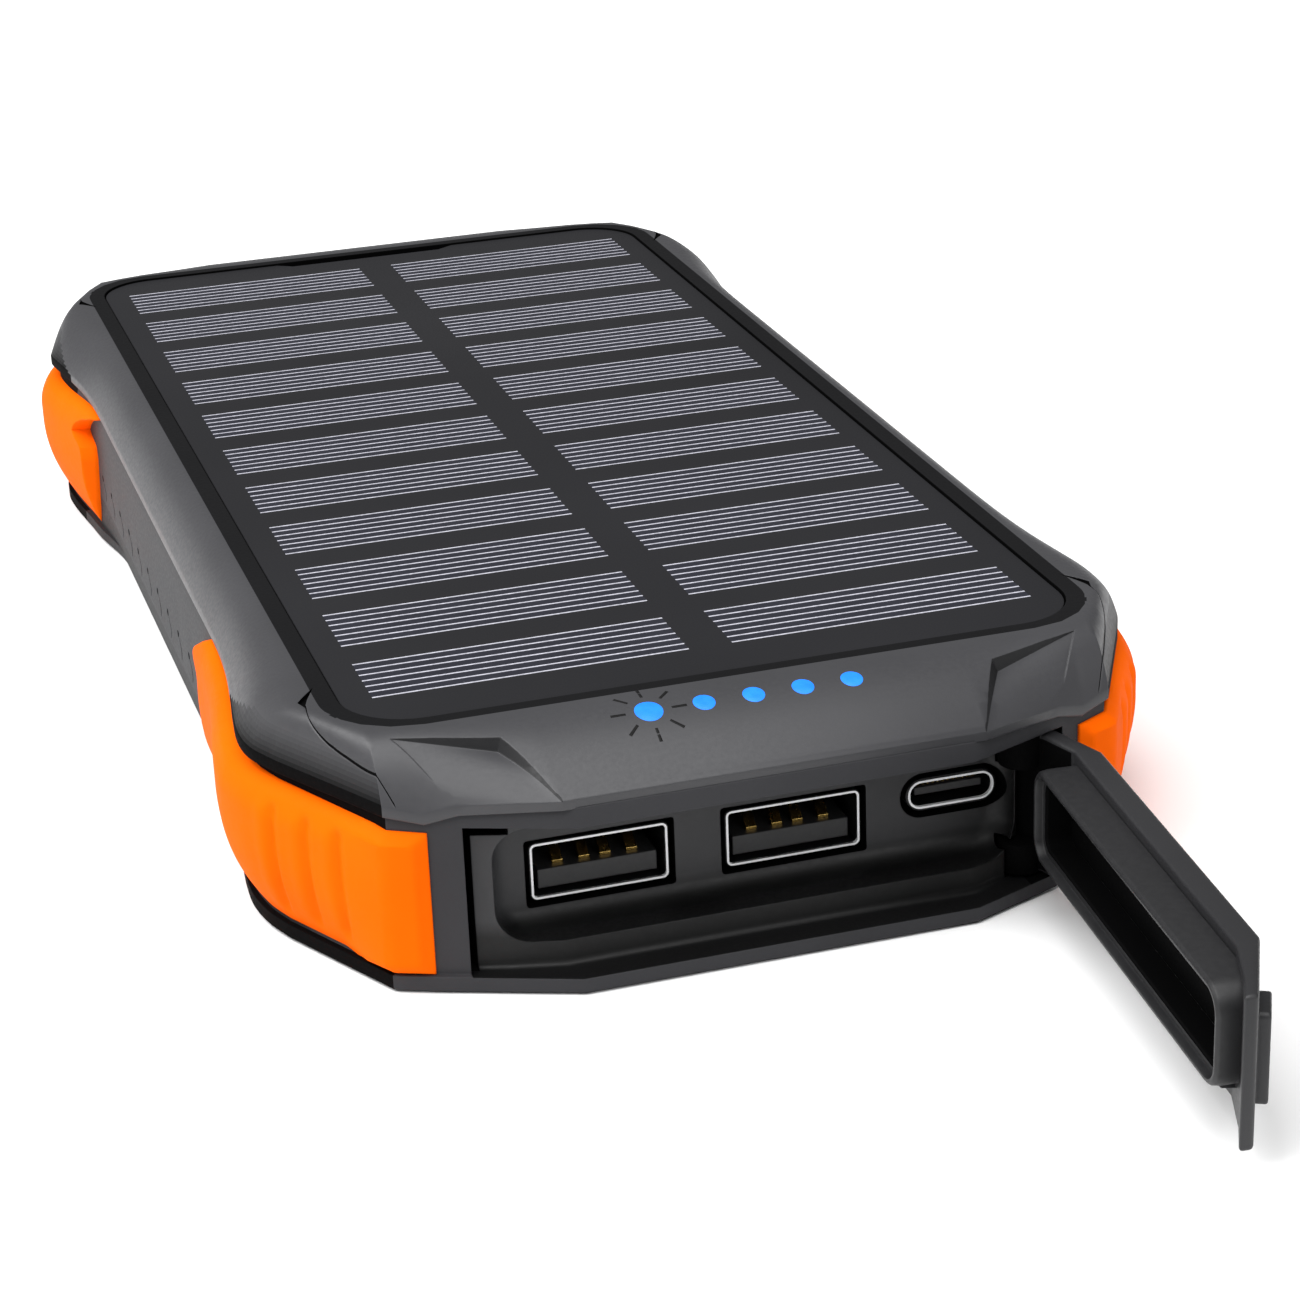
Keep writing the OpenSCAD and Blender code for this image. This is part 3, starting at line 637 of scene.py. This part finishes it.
# each station pairs a point of the lip with a point of the flat frame, and gives the height of
# the lip and how full the slope between them is; along the side the two points face each other
STATIONS = [((19.8, FRONT - 0.3), (19.8, FRAME_Y), 17.9, 2.0),
            ((28.3, FRONT - 3.75), arc(0), 17.4, 2.0),
            ((31.2, FRONT - 4.9), arc(22), 16.5, 2.2), ((34.5, FRONT - 6.3), arc(42), 17.2, 2.9),
            ((37.6, FRONT - 12.1), arc(58), 17.2, 3.2), ((41.4, FRONT - 19.2), arc(76), 17.2, 3.2),
            ((43.0, FRONT - 22.8), arc(90), 17.3, 3.0)]
STATIONS += [((x, FRONT - d), (FRAME_X, FRONT - d), lip, full) for x, d, lip, full in
             ((43.5, 26, 17.6, 2.8), (43.1, 30.5, 17.9, 2.4), (42.4, 35.5, SPLIT_Z, 2.1),
              (41.75, 41, SPLIT_Z, 2.0), (41.4, 46.5, SPLIT_Z, 2.0), (41.3, 53, SPLIT_Z, 2.0),
              (41.3, 62, SPLIT_Z, 2.0), (41.3, 80, SPLIT_Z, 2.0))]
pairs = spline([(*a, *b, lip, full) for a, b, lip, full in STATIONS], 5, 8)


def slope_ring(u):
    return whole([(lerp(p[0], p[2], u), lerp(p[1], p[3], u),
                   BODY_H - (BODY_H - p[4] - RIM_H) * (1 - u) ** p[5]) for p in pairs])


rim_low = whole([(p[0], p[1], p[4]) for p in pairs])
rim_in = whole([(lerp(p[0], p[2], 0.4), lerp(p[1], p[3], 0.4), SPLIT_Z) for p in pairs])
slope = [slope_ring((i / SLOPE_ROWS) ** 1.3) for i in range(SLOPE_ROWS + 1)]
upper = loft("upper_shell", [rim_in, rim_low] + slope, GREY, FRAME_GREY)

# the roll-off down to the lip gets painted shade, row by row, round the corners: near-black in the lowest
# rows, then darker greys
BLACK_ROWS = 3
row_slots = [(BLACK_ROWS, slot_of(upper, SHADOW_BLACK))]
row_slots += [(BLACK_ROWS + 1 + k, slot_of(upper, m)) for k, m in enumerate(LIP_SHADE_GREYS)]
for i, f in enumerate(upper.data.polygons):
    row = i // len(rim_low)
    chosen = [slot for end, slot in row_slots if row < end]
    if row > 0 and chosen and at_corner(f.center / MM, CORNER_Y + 1.3 * row):
        f.material_index = chosen[0]


def top_z(tree, x, y):
    """Height of the upper shell's outer surface"""
    hit = tree.ray_cast(Vector((x, y, 60)) * MM, Vector((0, 0, -1)))
    return hit[0].z / MM if hit[0] else SPLIT_Z + RIM_H


tree = BVHTree.FromObject(upper, bpy.context.evaluated_depsgraph_get())

# sunken facet beside each corner of the ends: a thin wall in painted shadow along its upper edge and down
# its inner side, running out to nothing along the ridge
FACET_TOP = ((23.1, 80.6), (32.6, 78.1))
FACET_LOW = ((18.9, 87.9), (28.2, 84.6))
FACET_FOOT = ((23.7, 81.0), (19.7, 87.9))
FACET_DEEP = 1.25
FACET_GRID = 8
CORNERS = [(sx, sy) for sy in (-1, 1) for sx in (-1, 1)]


def between(ends, t):
    return Vector(ends[0]).lerp(Vector(ends[1]), t)


def facet_cutter(sx, sy):
    floor_pts, top_pts = [], []
    inner_top, ridge_top = [top_z(tree, sx * x, sy * y) for x, y in FACET_TOP]
    inner_low = top_z(tree, sx * FACET_LOW[0][0], sy * (FACET_LOW[0][1] - 0.5))
    ridge_low = top_z(tree, sx * FACET_LOW[1][0], sy * (FACET_LOW[1][1] - 0.7))
    for r in range(FACET_GRID + 1):
        t = r / FACET_GRID
        foot = between(FACET_FOOT, t)
        wall = between((FACET_TOP[0], FACET_LOW[0]), t)
        ridge = between((FACET_TOP[1], FACET_LOW[1]), t)
        z_foot = lerp(inner_top - FACET_DEEP, inner_low - 0.55, t)
        z_ridge = lerp(ridge_top - 0.05, ridge_low - 0.85, t) - 0.25 * math.sin(math.pi * t)
        crown = 0.45 * math.sin(math.pi * t * 0.9)
        for c in range(FACET_GRID + 1):
            u = c / FACET_GRID
            z = lerp(z_foot, z_ridge, u) + crown
            p, q = foot.lerp(ridge, u), wall.lerp(ridge, u)
            surface = top_z(tree, sx * q.x, sy * min(q.y, FRONT - 0.5))
            floor_pts.append((sx * p.x, sy * p.y, z - 0.02))
            top_pts.append((sx * q.x, sy * q.y, max(surface, z) + 0.35))
    ob, walls = slab("cut", floor_pts, top_pts, FACET_GRID, FACET_GRID, GREY, SHADE)
    for f in ob.data.polygons[walls:]:
        f.material_index = 1
    return ob


for sx, sy in CORNERS:
    combine(upper, facet_cutter(sx, sy))

# thin curved groove outside each ridge, from an arrow-shaped nick down to the rim
GROOVE = [(38.2, 68.9), (38.3, 71.4), (37.5, 74.2), (36.1, 77.2), (34.6, 80.1), (33.1, 82.4),
          (32.4, 83.4)]
GROOVE_W, GROOVE_DEPTH, GROOVE_FLARE = 0.1, 0.28, 5
NICK = [(36.7, 65.2), (38.7, 67.9), (38.3, 69.3), (37.8, 67.8)]


def groove_cutter(sx, sy):
    path = spline(GROOVE, 0, 8)
    verts, faces = [], []
    n = len(path)
    for i, (p, v) in enumerate(zip(path, normals(path))):
        z = top_z(tree, sx * p[0], sy * min(p[1], 82))
        w = GROOVE_W * (1 + max(0, GROOVE_FLARE - i) / GROOVE_FLARE)
        for d, h in ((-w, 0.5), (w, 0.5), (0.0, -GROOVE_DEPTH)):
            verts.append((sx * (p[0] + v.x * d), sy * (p[1] + v.y * d), z + h))
    for i in range(n - 1):
        for a, b in ((0, 1), (1, 2), (2, 0)):
            faces.append([3 * i + a, 3 * i + b, 3 * (i + 1) + b, 3 * (i + 1) + a])
    faces += [[0, 1, 2], [3 * (n - 1) + 2, 3 * (n - 1) + 1, 3 * (n - 1)]]
    return make("cut", verts, faces, SHADOW_BLACK)


def nick_cutter(sx, sy):
    z = top_z(tree, sx * 37.9, sy * 67.8)
    return prism("cut", [(sx * x, sy * y) for x, y in NICK], z - 0.35, z + 1.5, SHADOW_BLACK)


for sx, sy in CORNERS:
    combine(upper, groove_cutter(sx, sy))
    combine(upper, nick_cutter(sx, sy))

PANEL_R, PANEL_ARC = 6.5, 10
PANEL_GAP = 0.16
NOTCH_DEPTH = 1.3


def panel_outline(grow):
    return round_rect(0, 0, 2 * (PANEL_X + grow), 2 * (PANEL_Y + grow), PANEL_R + grow, PANEL_ARC)


combine(upper, prism("cut", panel_outline(PANEL_GAP), PANEL_FLOOR + 0.6, BODY_H + 2, SHADOW_BLACK))


def on_flat(c):
    x, y = abs(c.x), abs(c.y)
    dx, dy = max(0, x - FRAME_X + FRAME_R), max(0, y - FRAME_Y + FRAME_R)
    inside = math.hypot(dx, dy) < FRAME_R if dx and dy else x < FRAME_X and y < FRAME_Y
    return inside and c.z > BODY_H - 0.1


frame_slot = slot_of(upper, FRAME_GREY)
for p in upper.data.polygons:
    if p.normal.z > 0.9 and on_flat(p.center / MM):
        p.material_index = frame_slot
settle(upper, nodes=("top_shell",))
tree = BVHTree.FromObject(upper, bpy.context.evaluated_depsgraph_get())

# ---- solar panel ----------------------------------------------------------------
# the outline has a shallow notch in the middle of its rear end, after the first rounded corner
notch = [(11.7, PANEL_Y), (9.6, PANEL_Y - NOTCH_DEPTH), (-9.8, PANEL_Y - NOTCH_DEPTH), (-11.7, PANEL_Y)]
edge = panel_outline(0)
panel = prism("panel_face", edge[:PANEL_ARC + 1] + notch + edge[PANEL_ARC + 1:],
              PANEL_FLOOR + 0.65, PANEL_TOP, PANEL)
rounded(panel, 0.12, 2, 50)
settle(panel, nodes=("panel_cover", "panel_backing"))

STRIPS, STRIP_PITCH, STRIP_DEPTH = 11, 13.0, 8.4
STRIP_X = (2.1, 32.1)
LINES, LINE_W = 7, 0.23
strips, lines = [], []
for sx in (-1, 1):
    for k in range(STRIPS):
        y = (k - STRIPS // 2) * STRIP_PITCH
        xs = sorted((sx * STRIP_X[0], sx * STRIP_X[1]))
        strips.append(block("s", xs, (y - STRIP_DEPTH / 2, y + STRIP_DEPTH / 2),
                            (PANEL_TOP - 0.05, PANEL_TOP + 0.012), SILICON))
        for j in range(LINES):
            c = y - STRIP_DEPTH / 2 + LINE_W / 2 + j * (STRIP_DEPTH - LINE_W) / (LINES - 1)
            lines.append(block("l", xs, (c - LINE_W / 2, c + LINE_W / 2),
                               (PANEL_TOP - 0.02, PANEL_TOP + 0.03), SILVER))
settle(join("silicon_strips", strips), nodes=("solar_cells",))
settle(join("silver_lines", lines), nodes=("cell_fingers",))

# ---- indicator lights -----------------------------------------------------------
LED_Y = -80.6
SUN_X, SUN_R = -9.6, 1.3
LED_X, LED_R, LED_PITCH, LEDS = -4.42, 1.02, 4.68, 4
RAYS = 8
RAY_ENDS = ((2.15, 0.13), (3.55, 0.15))


def surface_disc(x, y, r, dome=0.05, rings=4, n=40):
    """Slightly domed disc that follows the shell's surface"""
    verts = [(x, y, top_z(tree, x, y) + dome)]
    for j in range(1, rings + 1):
        rise = dome * (1 - (j / rings) ** 4) + 0.015
        verts += [(px, py, top_z(tree, px, py) + rise) for px, py in circle(x, y, r * j / rings, n)]
    verts += [(px, py, z - 0.3) for px, py, z in verts[-n:]]
    faces = [[0, 1 + i, 1 + (i + 1) % n] for i in range(n)]
    for j in range(rings):
        a, b = 1 + j * n, 1 + (j + 1) * n
        faces += [[a + i, b + i, b + (i + 1) % n, a + (i + 1) % n] for i in range(n)]
    faces.append([1 + rings * n + i for i in range(n)][::-1])
    return make("disc", verts, faces, LAMP)


discs = [surface_disc(SUN_X, LED_Y, SUN_R)]
discs += [surface_disc(LED_X + k * LED_PITCH, LED_Y, LED_R) for k in range(LEDS)]
settle(join("lamp_windows", discs), nodes=("light_guide",))


def sun_ray(angle):
    """Thin printed bar that points away from the first light; its ends are (reach, half width)"""
    along = Vector((math.cos(angle), math.sin(angle)))
    across = Vector((-math.sin(angle), math.cos(angle)))
    (near, near_w), (far, far_w) = RAY_ENDS
    quad = [Vector((SUN_X, LED_Y)) + along * reach + across * w
            for reach, w in ((near, -near_w), (near, near_w), (far, far_w), (far, -far_w))]
    verts = [(q.x, q.y, top_z(tree, q.x, q.y) + 0.02) for q in quad]
    verts += [(x, y, z - 0.2) for x, y, z in verts]
    faces = [[0, 1, 2, 3], [7, 6, 5, 4], [0, 4, 5, 1], [1, 5, 6, 2], [2, 6, 7, 3], [3, 7, 4, 0]]
    return make("ray", verts, faces, INK)


settle(join("sun_rays", [sun_ray(2 * math.pi * k / RAYS) for k in range(RAYS)]))

# ---- bumpers --------------------------------------------------------------------
bumper_line = spline(WALL[1:], 2, 14)
bumper_out = normals(bumper_line)
travel = [0.0]
for a, b in zip(bumper_line, bumper_line[1:]):
    travel.append(travel[-1] + math.hypot(b[0] - a[0], b[1] - a[1]))
CORNER_S = travel[14]


def at_travel(s):
    """Point of the wall and its outward direction after s mm along it"""
    for i in range(len(travel) - 1):
        if s <= travel[i + 1]:
            t = (s - travel[i]) / (travel[i + 1] - travel[i])
            p = Vector(bumper_line[i]).lerp(Vector(bumper_line[i + 1]), t)
            v = bumper_out[i].lerp(bumper_out[i + 1], t).normalized()
            return p, v
    return Vector(bumper_line[-1]), bumper_out[-1]


def travel_at(y):
    """Length along the wall to where it crosses y"""
    for i in range(len(travel) - 1):
        if bumper_line[i + 1][1] <= y <= bumper_line[i][1]:
            t = (bumper_line[i][1] - y) / max(1e-6, bumper_line[i][1] - bumper_line[i + 1][1])
            return lerp(travel[i], travel[i + 1], t)
    return travel[-1]


BUMPER_FOOT, BUMPER_HEAD = 1.8, 15.6
TIP_Z = SPLIT_Z - 0.15
INSIDE = 0.8
# (height, distance from the middle of the case) along the inner end of a bumper
FRONT_END = [(1.8, 28.6), (4, 28.9), (6.4, 30.4), (9, 31.2), (12.4, 31.9), (13.2, 31.6),
             (13.8, 30.6), (14.6, 30.2), (15.4, 30.9), (16.4, 33.2), (TIP_Z, 36.7)]
REAR_END = [(1.8, 45.4), (4.8, 44.6), (8.5, 43.6), (10.8, 43.0), (12.4, 43.3), (13.0, 45.4),
            (13.6, 46.4), (14.6, 45.4), (15.6, 43.6), (TIP_Z, 36.4)]


# (distance toward the end of the case, height) of the upper edge
TOP_EDGE = [(-83, BUMPER_HEAD), (-80, 16.0), (-62, 16.3), (-54, 16.6), (-44, 17.3), (-36.5, TIP_Z)]
# (length past the corner, how far the face stands out of the wall)
FACE = [(-CORNER_S, 0.95), (0, 1.25), (6, 1.9), (15, 2.5), (22, 2.7), (30, 2.4), (38, 2.0), (46, 1.5),
        (60, 1.15)]
SCALLOPS = (5.1, 9.3, 13.8)
BORDER = 0.22


def bumper_offset(s, z, top, to_end):
    """How far the face stands out, s mm along it at height z, with to_end mm left to its end"""
    face = interpolate(s - CORNER_S, FACE)
    belly = smooth((s - 2) / 9)
    low = max(0.0, (11.0 - z) / 9.3)
    o = face * (1 - 1.08 * belly * low ** 2.2)
    high = max(0.0, (z - (top - 3.4)) / 3.4)
    o -= face * belly * 0.62 * high ** 2
    # bevelled border
    edge = min(s / 1.15, (top - z) / 1.05, (z - BUMPER_FOOT) / 0.9, to_end / 1.1)
    o = min(o, BORDER + (face - BORDER) * max(0.0, edge)) if edge < 1 else o
    # scallops across the corner
    fade = smooth((z - 2.6) / 2.0) * smooth((top - 1.1 - z) / 1.2)
    for c in SCALLOPS:
        x = s - CORNER_S - c - 0.5 * smooth((8 - z) / 6)
        o -= fade * (0.50 * math.exp(-(x / 0.55) ** 2) - 0.10 * math.exp(-((x - 1.5) / 0.7) ** 2))
    return o


def bumper_row(t, end, columns):
    """Outer and inner points of a bumper at share t of its height"""
    outer, inner = [], []
    for i in range(columns + 1):
        z = lerp(BUMPER_FOOT, BUMPER_HEAD, t)
        # the height, the end at that height and the top edge there depend on each other
        for _ in range(4):
            s_end = travel_at(interpolate(z, end))
            s = s_end * i / columns
            p, v = at_travel(s)
            top = interpolate(-p.y, TOP_EDGE)
            z = lerp(BUMPER_FOOT, top, t)
        o = bumper_offset(s, z, top, s_end - s)
        outer.append((p.x + v.x * o, p.y + v.y * o, z))
        inner.append((p.x - v.x * INSIDE, p.y - v.y * INSIDE, z))
    return outer, inner


def bumper(sx, sy, rows=40, columns=190):
    end = REAR_END if sy > 0 else FRONT_END
    made = [bumper_row(j / rows, end, columns) for j in range(rows + 1)]
    outer, inner = [[(sx * x, sy * y, z) for row in made for x, y, z in row[side]] for side in (0, 1)]
    place = f"{'rear' if sy > 0 else 'front'}_{'right' if sx > 0 else 'left'}"
    ob, _ = slab(f"guard_{place}", outer, inner, rows, columns, ORANGE)
    settle(ob, angle=38, nodes=(f"bumper_{place}",))


for sx in (-1, 1):
    for sy in (-1, 1):
        bumper(sx, sy)

# ---- lid ------------------------------------------------------------------------
# built shut, then swung open about the hinge
LID_OPEN = 85
SWING = (Matrix.Translation(Vector((HINGE[0], HINGE[1], 0)) * MM)
         @ Matrix.Rotation(math.radians(LID_OPEN), 4, "Z")
         @ Matrix.Translation(Vector((-HINGE[0], -HINGE[1], 0)) * MM))
LID_GAP = 0.25
LID_Z = (OPEN_Z[0] + LID_GAP, OPEN_Z[1] - LID_GAP)
LID_LEFT, LID_RIGHT = OPEN_LEFT + 0.3, 28.5
CHAMFER = 5.1 / (SIDE - 10.3 - KINK_X)
FLUSH = 0.1
KNUCKLE_R = 2.1
HEEL_FROM = 21.4


def face_at(x):
    """Where the end face of the case stands at x"""
    return FRONT - CHAMFER * max(0, abs(x) - KINK_X)


lid_back = [(max(x, LID_LEFT), y - 0.3) for x, y in STEP_BACK] + [(25, -82.7), (27, -82)]
lid_face = [(x, FLUSH - face_at(x)) for x in (LID_RIGHT, KINK_X, -KINK_X, LID_LEFT)]
plate = prism("lid_plate", lid_back + lid_face, *LID_Z, LID_GREY)
rounded(plate, 0.35, 3, 20)
# painted shadow on the heel's inward faces near the hinge, in near-black
heel_dark = slot_of(plate, SHADOW_BLACK)
for f in plate.data.polygons:
    c = f.center / MM
    if c.x > HEEL_FROM and f.normal.y > 0.1 and LID_Z[0] + 0.3 < c.z < LID_Z[1] - 0.3:
        f.material_index = heel_dark
GRIP_X, GRIP_Z, GRIP_W, GRIP_H = -24.1, 9, 4.2, 8.3
grip = prism("lid_grip", round_rect(0, 0, GRIP_W, GRIP_H, 0.5, 4), -0.85, 0.85, LID_GREY, "y")
rounded(grip, 0.25, 3)
grip.data.transform(Matrix.Translation(Vector((GRIP_X, -face_at(GRIP_X) - 0.1, GRIP_Z)) * MM)
                    @ Matrix.Rotation(-math.atan(CHAMFER), 4, "Z"))
CATCH = [(-85.6, 5.6), (-82.8, 5.6), (-83.4, 4.7), (-85.6, 4.4)]
catch = rounded(prism("catch", CATCH, -22.5, -20.4, SHADE, "x"), 0.12)
knuckles = [rounded(tube_at_hinge(*ends, KNUCKLE_R, "knuckle"), 0.15, 2, 50)
            for ends in ((LID_Z[0], LOW_BORE_TOP - 0.3), (HIGH_BORE_FOOT + 0.3, LID_Z[1]))]
lid = join("lid", [plate, grip, catch] + knuckles)
lid.data.transform(SWING)
settle(lid, "lid", nodes=("port_lid",))

SEAL_X, SEAL_Z, SEAL_R = (-25.0, 20.4), (5.4, 14.9), 2.6
SEAL_TIP, SEAL_FLOOR = -81.9, -85.2
# (growth of the outline, y) from the plate over the rounded tip to the step inside it
SEAL_RINGS = [(0.0, -85.4), (0.0, -84.7), (0.0, SEAL_TIP - 0.9), (-0.12, SEAL_TIP - 0.25),
              (-0.4, SEAL_TIP), (-0.65, SEAL_TIP), (-0.75, SEAL_TIP - 0.2),
              (-0.8, SEAL_TIP - 0.75), (-1.3, SEAL_TIP - 0.8)]
HOLLOW_RINGS = [SEAL_RINGS[-1], (-1.5, SEAL_TIP - 1.0), (-1.5, SEAL_FLOOR)]


def ring_section(grow, y):
    w, h = SEAL_X[1] - SEAL_X[0] + 2 * grow, SEAL_Z[1] - SEAL_Z[0] + 2 * grow
    outline = round_rect(sum(SEAL_X) / 2, sum(SEAL_Z) / 2, w, h, SEAL_R + grow, 10)
    return [(x, y, z) for x, z in outline]


tube = loft("seal_tube", [ring_section(*ring) for ring in SEAL_RINGS], SEAL, cap=False)
# the ring's inside and its floor are painted shadow, in near-black
hollow = loft("seal_hollow", [ring_section(*ring) for ring in HOLLOW_RINGS], SHADOW_BLACK, cap=False)
floor_ring = ring_section(-1.45, SEAL_FLOOR - 0.05)
well = make("seal_floor", floor_ring, [list(range(len(floor_ring)))], SHADOW_BLACK)
seal = join("seal_ring_all", [tube, hollow, well])
seal.data.transform(SWING)
settle(seal, "lid", nodes=("lid_seal",))

# ---- socket mouths --------------------------------------------------------------
RIM_W = 0.2


def socket_rim(node, inset, r):
    """Bright folded edge of a metal shell, a little inside the shell's own outline"""
    (x0, y0, z0), (x1, _, z1) = [[c / MM for c in side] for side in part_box(node)]
    rings = []
    for grow, y in ((0.0, y0 + 0.3), (0.0, y0 - 0.05), (-RIM_W, y0 - 0.05), (-RIM_W, y0 + 0.3)):
        w, h = x1 - x0 - 2 * inset + 2 * grow, z1 - z0 - 2 * inset + 2 * grow
        outline = round_rect((x0 + x1) / 2, (z0 + z1) / 2, w, h, r + grow)
        rings.append([(x, y, z) for x, z in outline])
    return loft("rim", rings + rings[:1], RIM, cap=False)


settle(join("socket_rims", [socket_rim("usb_a_left_shell", 0.1, 0.55),
                            socket_rim("usb_a_right_shell", 0.1, 0.55),
                            socket_rim("usb_c_shell", 0.22, 1.3)]))

# ---- socket contacts and button -------------------------------------------------
CONTACT_X = (-3.5, -1, 1, 3.5)
CONTACT_HALF, CONTACT_BACK = 0.5, -70.2
for side, x in zip(("left", "right"), USB_A):
    node = f"usb_a_{side}_contacts"
    y, z = edge_mm(node, 0, "y"), edge_mm(node, 1, "z")
    bow = [(y, z - 0.3), (y, z), (y + 1.2, z + 0.9), (y + 2.0, z + 1.0), (y + 4.5, z + 0.15),
           (CONTACT_BACK, z + 0.1), (CONTACT_BACK, z - 0.15), (y + 4.3, z - 0.1), (y + 2.0, z + 0.72),
           (y + 1.4, z + 0.66), (y + 0.4, z - 0.28)]
    springs = [prism("spring", bow, x + dx - CONTACT_HALF, x + dx + CONTACT_HALF, GOLD, "x")
               for dx in CONTACT_X]
    settle(join(f"contact_springs_{side}", springs), nodes=(node,))

cap = prism("button_cap", round_rect(BUTTON_Y, BUTTON_Z, CAP_W, CAP_H, CAP_R, 10), SIDE - 5.1,
            edge_mm("power_button", 1, "x"), LID_GREY, "x")
rounded(cap, 0.35, 3, 60)
settle(cap, "button", nodes=("power_button",))

# ---- nodes that keep their own shape --------------------------------------------
carried = {"usb_a_left_shell": SOCKET, "usb_a_right_shell": SOCKET, "usb_c_shell": SOCKET,
           "usb_a_left_insulator": SOOT, "usb_a_right_insulator": SOOT, "usb_c_tongue": SOOT,
           "usb_c_contacts": GOLD, "indicator_leds": NYLON, "main_board": MASK,
           "controller_chips": FERRITE, "power_inductors": FERRITE, "filter_capacitors": TAN,
           "battery_connector": NYLON, "battery_cell_lower": FOIL, "battery_cell_upper": FOIL,
           "cell_spacer_tape": TAPE, "battery_tabs": STEEL, "protection_board": MASK,
           "battery_leads": RED, "panel_leads": RED, "foam_pads": SEAL, "hinge_pins": STEEL,
           "switch_plunger": SOOT, "switch_body": STEEL, "switch_board": MASK, "case_screws": STEEL}
for node, material in carried.items():
    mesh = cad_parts[node].data
    mesh.materials.clear()
    mesh.materials.append(material)

# ---- studio ---------------------------------------------------------------------
FLOOR_SIZE = 6.0
FLOOR_Z = -0.05
floor_mat, fn, fl, fb = new_material("floor_white")
fl.new(blend_colour(fn, fl, ranged(fn, fl, noise_node(fn, fl, 3).outputs["Fac"], 0, 1),
                    (0.90, 0.90, 0.90), (0.93, 0.93, 0.93)), fb.inputs["Base Color"])
fb.inputs["Roughness"].default_value = 0.9
fb.inputs["Specular IOR Level"].default_value = 0.1
reach = FLOOR_SIZE / 2 / MM
floor_corners = [(-reach, -reach), (reach, -reach), (reach, reach), (-reach, reach)]
make("floor", [(x, y, FLOOR_Z) for x, y in floor_corners], [[0, 1, 2, 3]], floor_mat)

world = bpy.data.worlds.new("studio")
bpy.context.scene.world = world
world.use_nodes = True
surround = world.node_tree.nodes["Background"]
surround.inputs["Color"].default_value = (1, 1, 1, 1)
surround.inputs["Strength"].default_value = 0.22


def softbox(name, place, aim, size, power):
    """Rectangular lamp at a place in metres, turned to its aim"""
    data = bpy.data.lights.new(name, "AREA")
    data.shape = "RECTANGLE"
    data.size, data.size_y = size
    data.energy = power
    ob = bpy.data.objects.new(name, data)
    bpy.context.scene.collection.objects.link(ob)
    ob.location = place
    ob.rotation_euler = (Vector(aim) - Vector(place)).to_track_quat("-Z", "Y").to_euler()


softbox("left_box", (-0.62, 0.02, 0.66), (0, 0, 0.01), (0.9, 0.5), 8)
softbox("front_box", (0.30, -0.80, 0.50), (0, -0.05, 0.01), (0.7, 0.3), 2)
sky = bpy.data.lights.new("sky", "SUN")
sky.energy = 2.8
sky.angle = math.radians(60)
sky_at = bpy.data.objects.new("sky", sky)
bpy.context.scene.collection.objects.link(sky_at)
sky_at.rotation_euler = (math.radians(8), math.radians(-8), 0)

# ---- camera ---------------------------------------------------------------------
AZIMUTH, ELEVATION, ROLL = (math.radians(a) for a in (-16.525, 22.613, -2.26))
CAMERA_AT = Vector((-84.98, -335.82, 139.48)) * MM
FOCAL, SENSOR = 90.636, 36
camera = bpy.data.cameras.new("camera")
camera.sensor_width = SENSOR
camera.lens = FOCAL
camera.clip_start = 0.01
eye = bpy.data.objects.new("camera", camera)
bpy.context.scene.collection.objects.link(eye)
back = Vector((math.sin(AZIMUTH) * math.cos(ELEVATION), -math.cos(AZIMUTH) * math.cos(ELEVATION),
               math.sin(ELEVATION)))
level = Vector((math.cos(AZIMUTH), math.sin(AZIMUTH), 0))
upward = back.cross(level)
right_axis = level * math.cos(ROLL) + upward * math.sin(ROLL)
up_axis = back.cross(right_axis)
turn = Matrix((right_axis, up_axis, back)).transposed()
eye.matrix_world = Matrix.Translation(CAMERA_AT) @ turn.to_4x4()
bpy.context.scene.camera = eye
bpy.context.scene.view_settings.view_transform = "Standard"
